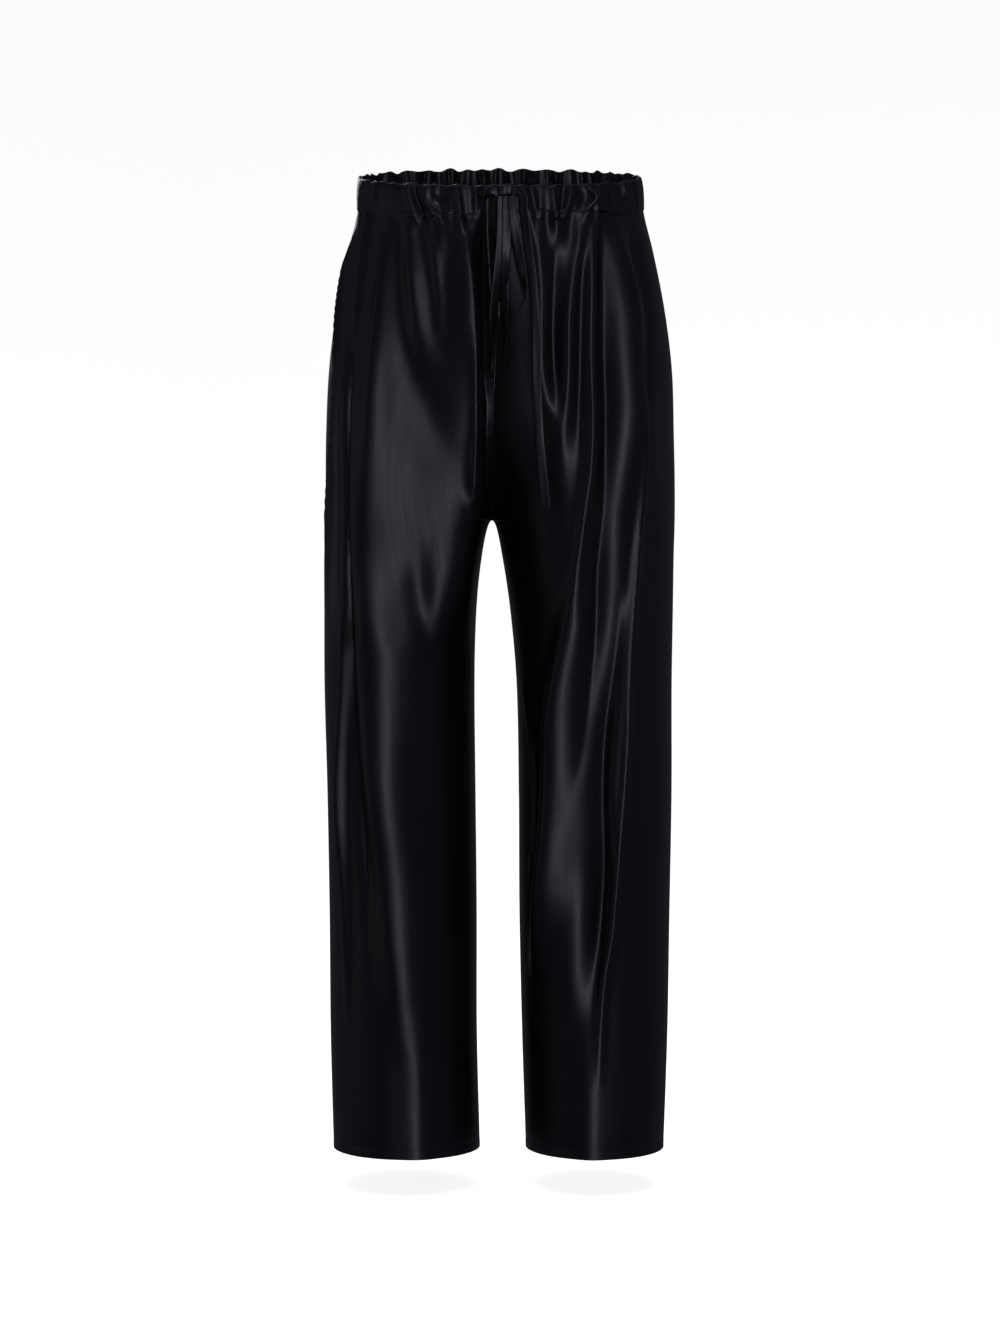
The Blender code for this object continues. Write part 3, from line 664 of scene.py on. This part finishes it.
def panel_points(sign, face, heights, columns):
    """(points, outward directions, lengths along each row) of one panel, to its side seam."""
    q = np.linspace(0.0, 1.0, columns + 1)
    u = q / 2 if face < 0 else 1 - q / 2
    u, height = np.meshgrid(u, np.asarray(heights, float))
    points = base_point(sign, u, height)
    normals = outward(sign, u, height)
    above = height[:, 0] >= CROTCH
    normals[above, 0, 0] = 0.0
    normals[above, 0, 2] -= TINY
    normals /= np.linalg.norm(normals, axis=-1, keepdims=True)
    arc = arc_lengths(points)
    width = arc[:, -1:]
    depth = relief(creases_of(face), sign, points, arc)
    depth *= ease(arc / SEAM_EASE) * ease((width - arc) / SEAM_EASE)
    if face < 0:
        rising, depths = zip(*CENTRE[::-1])
        sink = smooth_through(rising, depths, height) * (height > CROTCH)
        depth -= sink * np.exp(-arc / CENTRE_WIDE[sign])
    edge = np.minimum(arc, width - arc)
    depth -= SEAM_SINK * np.exp(-((edge / SEAM_WIDE) ** 2)) * (height < CASING_BOTTOM)
    return points + normals * depth[..., None], normals, arc


def part_at_seams(points, sign, face, heights):
    """Moves a panel's edges back from its seams by half the gap."""
    half = SEAM_GAP / 2
    above = np.asarray(heights) >= CROTCH
    under = np.asarray(heights) <= CROTCH
    points[above, 0, 0] += sign * half
    points[under, 0, 1] += face * half
    points[:, -1, 1] += face * half
    return points


# Meshes


def grid_faces(rows, columns, closed, offset=0):
    """Quads of a grid of points, row after row. A closed grid joins its last row to its first."""
    found = []
    for i in range(rows if closed else rows - 1):
        a = offset + i * columns + np.arange(columns - 1)
        b = offset + (i + 1) % rows * columns + np.arange(columns - 1)
        found.append(np.stack([a, a + 1, b + 1, b], axis=1))
    return np.concatenate(found)


def mesh_object(name, points, faces, material, uvs=None):
    """A smooth object from points in millimetres and a list of faces, in one of the materials."""
    data = bpy.data.meshes.new(name)
    data.from_pydata((points * MM).tolist(), [], faces)
    if uvs is not None:
        layer = data.uv_layers.new(name="cloth")
        loops = np.empty(len(data.loops), int)
        data.loops.foreach_get("vertex_index", loops)
        layer.data.foreach_set("uv", (uvs[loops] * MM).ravel())
    data.materials.append(MATERIALS[material])
    data.shade_smooth()
    data.set_sharp_from_angle(angle=SHARP)
    made = bpy.data.objects.new(name, data)
    bpy.context.scene.collection.objects.link(made)
    return made


def faces_out(made):
    """Turns a closed mesh's faces out, by the sign of its volume."""
    data = made.data
    data.calc_loop_triangles()
    places = np.empty(3 * len(data.vertices))
    data.vertices.foreach_get("co", places)
    corners = np.empty(3 * len(data.loop_triangles), int)
    data.loop_triangles.foreach_get("vertices", corners)
    if np.linalg.det(places.reshape(-1, 3)[corners.reshape(-1, 3)]).sum() < 0:
        data.flip_normals()


def stand_for(made, part):
    """Finishes a piece: faces out, on the body, and in place of a part."""
    faces_out(made)
    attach(made, "root")
    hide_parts(part)


def wall(name, outer, inner, arc, material):
    """A closed wall between two sheets of the same rows and columns."""
    rows, columns = outer.shape[:2]
    count = rows * columns
    points = np.concatenate([outer.reshape(-1, 3), inner.reshape(-1, 3)])
    sheet = grid_faces(rows, columns, False)
    faces = [sheet, sheet[:, ::-1] + count]
    index = np.arange(count).reshape(rows, columns)
    for line, turn in ((index[0], -1), (index[-1], 1), (index[:, 0], 1), (index[:, -1], -1)):
        rim = np.stack([line[:-1], line[1:], line[1:] + count, line[:-1] + count], axis=1)
        faces.append(rim[:, ::-turn])
    uvs = np.stack([arc[:, -1:] - arc, outer[..., 2]], axis=-1).reshape(-1, 2)
    faces = np.concatenate(faces).tolist()
    return mesh_object(name, points, faces, material, np.concatenate([uvs, uvs]))


# Materials


class Nodes:
    """Short calls for a material's nodes."""

    def __init__(self, name):
        self.material = bpy.data.materials.new(name)
        self.material.use_nodes = True
        self.tree = self.material.node_tree
        self.shader = self.tree.nodes["Principled BSDF"]

    def node(self, kind, **values):
        made = self.tree.nodes.new(kind)
        for key, value in values.items():
            setattr(made, key, value)
        return made

    def link(self, source, target):
        self.tree.links.new(source, target)

    def coordinates(self, scale):
        """The cloth's own coordinates, in metres across and down, stretched by scale."""
        where = self.node("ShaderNodeUVMap", uv_map="cloth")
        mapping = self.node("ShaderNodeMapping")
        mapping.inputs["Scale"].default_value = scale
        self.link(where.outputs["UV"], mapping.inputs["Vector"])
        return mapping.outputs["Vector"]

    def noise(self, scale, detail):
        made = self.node("ShaderNodeTexNoise")
        made.inputs["Scale"].default_value = 1.0
        made.inputs["Detail"].default_value = detail
        self.link(self.coordinates(scale), made.inputs["Vector"])
        return made.outputs["Fac"]

    def ranged(self, value, low, high):
        """The middle stretch of a noise, spread from low to high."""
        made = self.node("ShaderNodeMapRange")
        made.inputs["From Min"].default_value = 0.3
        made.inputs["From Max"].default_value = 0.7
        made.inputs["To Min"].default_value = low
        made.inputs["To Max"].default_value = high
        self.link(value, made.inputs["Value"])
        return made.outputs["Result"]

    def bump(self, height, distance, before=None):
        made = self.node("ShaderNodeBump")
        made.inputs["Distance"].default_value = distance
        made.inputs["Strength"].default_value = 1.0
        self.link(height, made.inputs["Height"])
        if before:
            self.link(before, made.inputs["Normal"])
        return made.outputs["Normal"]


def satin(name, dark, light, roughness, specular):
    """Black silk satin: long floats that shine, fine twill lines, and faint slubs."""
    made = Nodes(name)
    shade = made.noise(SHADE_SCALE, 3.0)
    colours = made.node("ShaderNodeMix", data_type="RGBA")
    colours.inputs["A"].default_value = (*dark, 1)
    colours.inputs["B"].default_value = (*light, 1)
    made.link(made.ranged(shade, 0, 1), colours.inputs["Factor"])
    made.link(colours.outputs["Result"], made.shader.inputs["Base Color"])
    slubs = made.noise(SLUB_SCALE, 2.0)
    rough = made.ranged(slubs, roughness - SMOOTHER, roughness + ROUGHER)
    made.link(rough, made.shader.inputs["Roughness"])
    weave = made.node("ShaderNodeTexWave", wave_type="BANDS", bands_direction="DIAGONAL")
    weave.inputs["Scale"].default_value = 1.0
    weave.inputs["Distortion"].default_value = 0.6
    weave.inputs["Detail"].default_value = 1.0
    made.link(made.coordinates(WEAVE_SCALE), weave.inputs["Vector"])
    soft = made.bump(made.noise(SOFT_SCALE, 2.0), SOFT_BUMP)
    fine = made.bump(weave.outputs["Fac"], WEAVE_BUMP, soft)
    made.link(fine, made.shader.inputs["Normal"])
    made.shader.inputs["Specular IOR Level"].default_value = specular
    made.shader.inputs["Specular Tint"].default_value = SHINE_TINT
    return made.material


def thread():
    """Black polyester sewing thread with its twist."""
    made = Nodes("sewing_thread")
    made.shader.inputs["Base Color"].default_value = (0.010, 0.010, 0.012, 1)
    made.shader.inputs["Roughness"].default_value = 0.45
    twist = made.node("ShaderNodeTexWave", wave_type="BANDS", bands_direction="DIAGONAL")
    twist.inputs["Scale"].default_value = 900.0
    where = made.node("ShaderNodeTexCoord")
    made.link(where.outputs["Object"], twist.inputs["Vector"])
    made.link(made.bump(twist.outputs["Fac"], 0.00003), made.shader.inputs["Normal"])
    return made.material


def paper():
    """White paper that glows a little, so that it is even all round."""
    made = Nodes("studio_paper")
    made.shader.inputs["Base Color"].default_value = (0.5, 0.5, 0.5, 1)
    made.shader.inputs["Roughness"].default_value = 0.9
    made.shader.inputs["Specular IOR Level"].default_value = 0.1
    made.shader.inputs["Emission Color"].default_value = (1, 1, 1, 1)
    made.shader.inputs["Emission Strength"].default_value = 0.86
    return made.material


MATERIALS = {
    "satin": satin("satin_black", (0.0018, 0.0016, 0.0026), (0.0027, 0.0024, 0.0038), 0.38, 0.45),
    # The ribbon's satin is the cloth's satin with a lighter colour, a painted highlight so that the ribbon
    # stands out where the light catches it, and with a stronger specular shine.
    "tie_satin": satin("satin_ribbon", (0.0026, 0.0024, 0.0036), (0.0038, 0.0034, 0.0050), 0.38, 0.55),
    "thread": thread(),
    "paper": paper(),
}


# Camera


def add_camera():
    """The camera, whose lens holds the frame's width at the garment's distance."""
    data = bpy.data.cameras.new("camera")
    camera = bpy.data.objects.new("camera", data)
    bpy.context.scene.collection.objects.link(camera)
    camera.location = (0, -CAMERA_AWAY, CAMERA_HEIGHT)
    aim = Vector((0, 0, AIM_HEIGHT)) - camera.location
    camera.rotation_euler = aim.to_track_quat("-Z", "Y").to_euler()
    data.sensor_fit = "HORIZONTAL"
    data.sensor_width = SENSOR
    data.lens = SENSOR * CAMERA_AWAY / FRAME_WIDTH
    data.clip_end = 50
    bpy.context.scene.camera = camera


# The drawstring


def cloth_tree(sheets):
    """The cloth of the front, as made here, for rays that seat the ribbon on it."""
    points, faces = [], []
    for name in ("front_right_leg", "front_left_leg"):
        outer = sheets[name][0]
        rows, columns = outer.shape[:2]
        faces += grid_faces(rows, columns, False, len(points)).tolist()
        points += (outer.reshape(-1, 3) * MM).tolist()
    loop = np.concatenate([casing_row(h, CASING_OUT + CASING_BULGE) for h in CASING_SPAN]) * MM
    faces += grid_faces(2, len(loop) // 2, False, len(points)).tolist()
    points += loop.tolist()
    return BVHTree.FromPolygons(points, faces)


def front_of(cloth, across, height, wide=NEAR_RIBBON, tall=NEAR_RIBBON):
    """The foremost cloth within a small window round a place."""
    found = 0.0
    for x in np.linspace(across - wide, across + wide, NEAR_RAYS):
        for z in np.linspace(height - tall, height + tall, NEAR_RAYS):
            place, *_ = cloth.ray_cast((x * MM, RAY_START * MM, z * MM), (0, 1, 0))
            if place:
                found = min(found, place.y / MM)
    return found


def knot_back(cloth):
    """The back face of the knot, just off the cloth behind it."""
    half = KNOT_WIDE / 2 - KNOT_ROUND / 2, KNOT_TALL / 2 - KNOT_ROUND / 2
    return front_of(cloth, KNOT_ACROSS, KNOT_HEIGHT, *half) - KNOT_GAP


def ribbon_line(points, cloth):
    """(middles, turns of the face in degrees) at the stations of a ribbon."""
    steps = [0.0]
    for a, b in zip(points, points[1:]):
        steps.append(steps[-1] + math.hypot(b.across - a.across, b.height - a.height))
    at = steps[-1] * np.linspace(0, 1, RIBBON_STATIONS) ** KNOT_CROWDING
    across, height, off, turn = (
        smooth_through(steps, [getattr(p, column) for p in points], at)
        for column in ("across", "height", "off", "turn")
    )
    knot = knot_back(cloth)
    order = np.argsort(-height)
    fronts = np.array([front_of(cloth, x, z) for x, z in zip(across, height)])
    hung = np.empty_like(fronts)
    hung[order] = np.minimum.accumulate(np.minimum(fronts[order], knot))
    return np.stack([across, hung - off, height], axis=1), turn


# Cross-section of the ribbon: places across its width and through its thickness, as fractions
RIBBON_RING = (
    (-0.5, 0.0), (-0.47, -0.36), (-0.4, -0.5), (-0.2, -0.44), (0.0, -0.42), (0.2, -0.44),
    (0.4, -0.5), (0.47, -0.36), (0.5, 0.0), (0.47, 0.36), (0.4, 0.5), (0.2, 0.46),
    (0.0, 0.44), (-0.2, 0.46), (-0.4, 0.5), (-0.47, 0.36),
)


def build_ribbon(name, points, cloth):
    """A flat ribbon along its route, with its edges curled a little."""
    middles, turn = ribbon_line(points, cloth)
    steps = np.concatenate([[0], np.cumsum(np.linalg.norm(np.diff(middles, axis=0), axis=1))])
    at = np.linspace(0, steps[-1], RIBBON_FINE)
    line = np.stack([smooth_through(steps, middles[:, k], at) for k in range(3)], axis=1)
    turn = np.radians(smooth_through(steps, turn, at))[:, None]
    along = np.gradient(line, axis=0)
    along /= np.linalg.norm(along, axis=1, keepdims=True)
    flat = np.stack([-along[:, 2], np.zeros(len(along)), along[:, 0]], axis=1)
    flat /= np.linalg.norm(flat, axis=1, keepdims=True)
    wide = flat * np.cos(turn) + np.cross(flat, along) * np.sin(turn)
    thick = np.cross(along, wide)
    rows = []
    for across, through in RIBBON_RING:
        curl = RIBBON_CURL * (2 * across) ** 2 * np.sin(at / CURL_LENGTH)[:, None]
        rows.append(line + wide * across * RIBBON_WIDE + thick * (through * RIBBON_THICK + curl))
    rows = np.array(rows)
    count = len(RIBBON_RING)
    faces = grid_faces(count, RIBBON_FINE, True).tolist()
    faces.append([k * RIBBON_FINE for k in range(count)])
    faces.append([k * RIBBON_FINE + RIBBON_FINE - 1 for k in range(count)][::-1])
    across = np.array([a for a, _ in RIBBON_RING]) * RIBBON_WIDE
    uvs = np.stack(np.broadcast_arrays(across[:, None], at[None, :]), axis=-1).reshape(-1, 2)
    made = mesh_object(name + "_satin", rows.reshape(-1, 3), faces, "tie_satin", uvs)
    stand_for(made, name)


def build_knot(cloth):
    """The knot of the bow: a soft pad of wrapped ribbon with a crease between its turns."""
    depth = knot_back(cloth) - KNOT_THICK / 2
    points = []
    for i in range(KNOT_RINGS):
        t = -1 + 2 * (i + 0.5) / KNOT_RINGS
        swell = math.sqrt(1 - abs(t) ** KNOT_FULL)
        fold = 1 - sum(f.depth * math.exp(-(((t - f.place) / f.width) ** 2)) for f in KNOT_FOLDS)
        tall = KNOT_END + (1 - KNOT_END) * swell
        for k in range(KNOT_AROUND):
            a = 2 * math.pi * k / KNOT_AROUND
            c, s = math.cos(a), math.sin(a)
            y = math.copysign(abs(s) ** KNOT_SQUARE, s) * KNOT_THICK / 2 * swell * fold
            z = math.copysign(abs(c) ** KNOT_SQUARE, c) * KNOT_TALL / 2 * tall * fold
            points.append((KNOT_ACROSS + t * KNOT_WIDE / 2, depth + y, KNOT_HEIGHT + z + KNOT_TILT * t))
    faces = []
    for i in range(KNOT_RINGS - 1):
        for k in range(KNOT_AROUND):
            a, b = i * KNOT_AROUND + k, i * KNOT_AROUND + (k + 1) % KNOT_AROUND
            faces.append([a, b, b + KNOT_AROUND, a + KNOT_AROUND])
    faces.append(list(range(KNOT_AROUND))[::-1])
    faces.append([(KNOT_RINGS - 1) * KNOT_AROUND + k for k in range(KNOT_AROUND)])
    points = np.array(points)
    made = mesh_object("tie_knot_satin", points, faces, "tie_satin", points[:, [0, 2]])
    stand_for(made, "tie_knot")


# The panels, casing and stitches


def leg_heights():
    """The heights of a panel's rows, closer together where the form turns quickly."""
    gathers = np.linspace(CASING_BOTTOM + UNDER_CASING, GATHERS_END, GATHER_ROWS)
    hips = np.linspace(GATHERS_END, FORK_TOP, HIP_ROWS)[1:]
    quarter = np.linspace(0, math.pi / 2, FORK_ROWS)[1:]
    fork = FORK_TOP + (CROTCH - FORK_TOP) * np.sin(quarter)
    arch = CROTCH - ARCH_LENGTH * np.linspace(0, 1, ARCH_ROWS)[1:] ** 2
    leg = np.linspace(CROTCH - ARCH_LENGTH, HEM + HEM_TURN, LEG_ROWS)[1:]
    hem = np.linspace(HEM + HEM_TURN, HEM, HEM_ROWS)[1:]
    return np.concatenate([gathers, hips, fork, arch, leg, hem])


def hem_relief(heights):
    """The stitch line bites in a little above the hem's edge, and the turning stands out below it."""
    bite = -HEM_BITE * np.exp(-(((heights - HEM_STITCHES) / HEM_BITE_WIDE) ** 2))
    swell = HEM_SWELL * ease((HEM_STITCHES - 1 - heights) / HEM_SWELL_OVER)
    return bite + swell


def panel_sheets(sign, face):
    """(outer sheet, inner sheet, lengths along each row) of one panel."""
    heights = leg_heights()
    columns = FRONT_COLUMNS if face < 0 else BACK_COLUMNS
    points, normals, arc = panel_points(sign, face, heights, columns)
    points += normals * hem_relief(heights)[:, None, None]
    outer = part_at_seams(points, sign, face, heights)
    thick = np.where(heights < HEM + HEM_TURN - 1, HEM_CLOTH, CLOTH)
    inner = outer - normals * thick[:, None, None]
    return outer, inner, arc


def build_panel(name, sheets):
    """One panel of satin, in place of its part."""
    made = wall(name + "_satin", *sheets, "satin")
    stand_for(made, name)


def casing_row(height, out):
    """One loop round the casing, moved out of the cloth's form by out."""
    loop = []
    for sign, face in ((-1, -1), (-1, 1), (1, 1), (1, -1)):
        points, normals, _ = panel_points(sign, face, [height], CASING_COLUMNS)
        row = points[0] + normals[0] * out
        toward_side = (sign < 0) == (face < 0)
        loop.append(row[:-1] if toward_side else row[::-1][:-1])
    return np.concatenate(loop)


def top_edge_wave(loop):
    """How far the top edge is lifted at each point round the waist, at the back more than in front."""
    step = np.arange(len(loop))
    wave = LONG_WAVE * np.sin(step * LONG_RATES[0]) * np.sin(step * LONG_RATES[1] + 1)
    wave += SHORT_WAVE * np.sin(step * SHORT_RATES[0] + 2 * np.sin(step * SHORT_RATES[1]))
    return wave * np.where(loop[:, 1] > 0, WAVE_BEHIND, WAVE_IN_FRONT)


def build_casing():
    """The elastic casing: doubled cloth that swells between its top fold and its lower seam."""
    t = np.linspace(0, 1, CASING_LEVELS)
    heights = CASING_BOTTOM + (CASING_TOP - CASING_BOTTOM) * t
    swell = CASING_BULGE * np.sin(math.pi * t) ** CASING_ROUND
    loops = [casing_row(h, CASING_OUT + s) for h, s in zip(heights, swell)]
    loops.append(casing_row(CASING_TOP + CASING_FOLD, -CASING_THICK / 2))
    for h, s in zip(heights[::-1][::2], swell[::-1][::2]):
        loops.append(casing_row(h, -CASING_THICK - s / 2))
    rows, columns = len(loops), len(loops[0])
    points = np.array(loops)
    lift = ease((points[..., 2] - points[..., 2].min(0)) / (CASING_TOP - CASING_BOTTOM)) ** 2
    points[..., 2] += lift * top_edge_wave(points[0])
    index = np.arange(rows * columns).reshape(rows, columns)
    faces = []
    for i in range(rows):
        a, b = index[i], index[(i + 1) % rows]
        faces.append(np.stack([a, np.roll(a, -1), np.roll(b, -1), b], axis=1))
    faces = np.concatenate(faces).tolist()
    steps = np.linalg.norm(np.roll(points[0], -1, axis=0) - points[0], axis=1)
    arc = np.concatenate([[0], np.cumsum(steps)[:-1]])
    uvs = np.stack(np.broadcast_arrays(arc[None, :], points[..., 2]), axis=-1).reshape(-1, 2)
    made = mesh_object("waist_casing_satin", points.reshape(-1, 3), faces, "satin", uvs)
    stand_for(made, "waist_casing")


def stitch_row(name, line, out):
    """A row of machine stitches along a line of points, each dipping into the cloth at its ends."""
    steps = np.concatenate([[0], np.cumsum(np.linalg.norm(np.diff(line, axis=0), axis=1))])
    starts = np.arange(STITCH_GAP, steps[-1] - STITCH_LONG, STITCH_LONG + STITCH_GAP)
    at = (starts[:, None] + STITCH_LONG * np.linspace(0, 1, STITCH_STATIONS)).ravel()
    middles = np.stack([np.interp(at, steps, line[:, k]) for k in range(3)], axis=1)
    normals = np.stack([np.interp(at, steps, out[:, k]) for k in range(3)], axis=1)
    arch = np.sin(np.linspace(0, math.pi, STITCH_STATIONS))
    middles += normals * np.tile(STITCH_RISE * arch, len(starts))[:, None]
    up = np.array([0, 0, 1])
    rings = []
    for k in range(STITCH_SIDES):
        a = 2 * math.pi / STITCH_SIDES * k
        rings.append(middles + STITCH_THICK / 2 * (normals * math.cos(a) + up * math.sin(a)))
    points = np.array(rings).reshape(-1, 3)
    count, last, faces = len(at), STITCH_STATIONS - 1, []
    for first in range(0, count, STITCH_STATIONS):
        for k in range(STITCH_SIDES):
            here, there = k * count + first, (k + 1) % STITCH_SIDES * count + first
            faces += [[here + j, here + j + 1, there + j + 1, there + j] for j in range(last)]
        faces.append([k * count + first for k in range(STITCH_SIDES)])
        faces.append([k * count + first + last for k in range(STITCH_SIDES)][::-1])
    made = mesh_object(name, points, faces, "thread")
    faces_out(made)
    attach(made, "root")


def add_stitches():
    """Rows above each hem's edge and above the casing's lower seam."""
    for name, (sign, face) in PANELS.items():
        columns = FRONT_COLUMNS if face < 0 else BACK_COLUMNS
        for place, (height, out) in STITCH_ROWS.items():
            points, normals, _ = panel_points(sign, face, [height], 2 * columns)
            stitch_row(f"{name}_{place}_stitches", points[0] + normals[0] * out, normals[0])


# Light


def area_light(light):
    """A soft box, turned to what it lights."""
    data = bpy.data.lights.new(light.name, "AREA")
    data.shape = "RECTANGLE"
    data.size, data.size_y = light.wide, light.tall
    data.energy = light.power
    made = bpy.data.objects.new(light.name, data)
    made.location = light.place
    away = Vector(light.aim) - Vector(light.place)
    made.rotation_euler = away.to_track_quat("-Z", "Y").to_euler()
    made.visible_glossy = light.mirrored
    bpy.context.scene.collection.objects.link(made)


def add_backdrop():
    """A round sweep of paper, the same from every side, which puts no light or shadow on the cloth."""
    profile = [(BACKDROP_AWAY / 2, FLOOR_HEIGHT)]
    for i in range(BACKDROP_STEPS + 1):
        a = math.pi / 2 * i / BACKDROP_STEPS
        reach = BACKDROP_AWAY - BACKDROP_ROUND + BACKDROP_ROUND * math.sin(a)
        profile.append((reach, FLOOR_HEIGHT + BACKDROP_ROUND * (1 - math.cos(a))))
    profile.append((BACKDROP_AWAY, BACKDROP_TALL))
    turns = np.linspace(0, 2 * math.pi, BACKDROP_SIDES, endpoint=False)
    points = [[r * math.cos(turn), r * math.sin(turn), z] for turn in turns for r, z in profile]
    faces = grid_faces(BACKDROP_SIDES, len(profile), True).tolist()
    faces.append([k * len(profile) for k in range(BACKDROP_SIDES)])
    data = bpy.data.meshes.new("studio_sweep")
    data.from_pydata(points, [], faces)
    data.materials.append(MATERIALS["paper"])
    data.shade_smooth()
    sweep = bpy.data.objects.new("studio_sweep", data)
    bpy.context.scene.collection.objects.link(sweep)
    sweep.visible_glossy = False
    sweep.visible_diffuse = False
    sweep.visible_shadow = False


def add_studio():
    """The backdrop, the light of the room and the soft boxes."""
    add_backdrop()
    world = bpy.data.worlds.new("studio")
    world.use_nodes = True
    background = world.node_tree.nodes["Background"]
    background.inputs["Color"].default_value = ROOM_COLOUR
    background.inputs["Strength"].default_value = ROOM_LIGHT
    bpy.context.scene.world = world
    bpy.context.scene.view_settings.view_transform = "Standard"
    for light in LIGHTS:
        area_light(light)


def main():
    sheets = {name: panel_sheets(sign, face) for name, (sign, face) in PANELS.items()}
    cloth = cloth_tree(sheets)
    add_camera()
    for name, points in RIBBONS.items():
        build_ribbon(name, points, cloth)
    build_knot(cloth)
    for name, (sign, face) in PANELS.items():
        build_panel(name, sheets[name])
    build_casing()
    add_stitches()
    add_studio()


main()
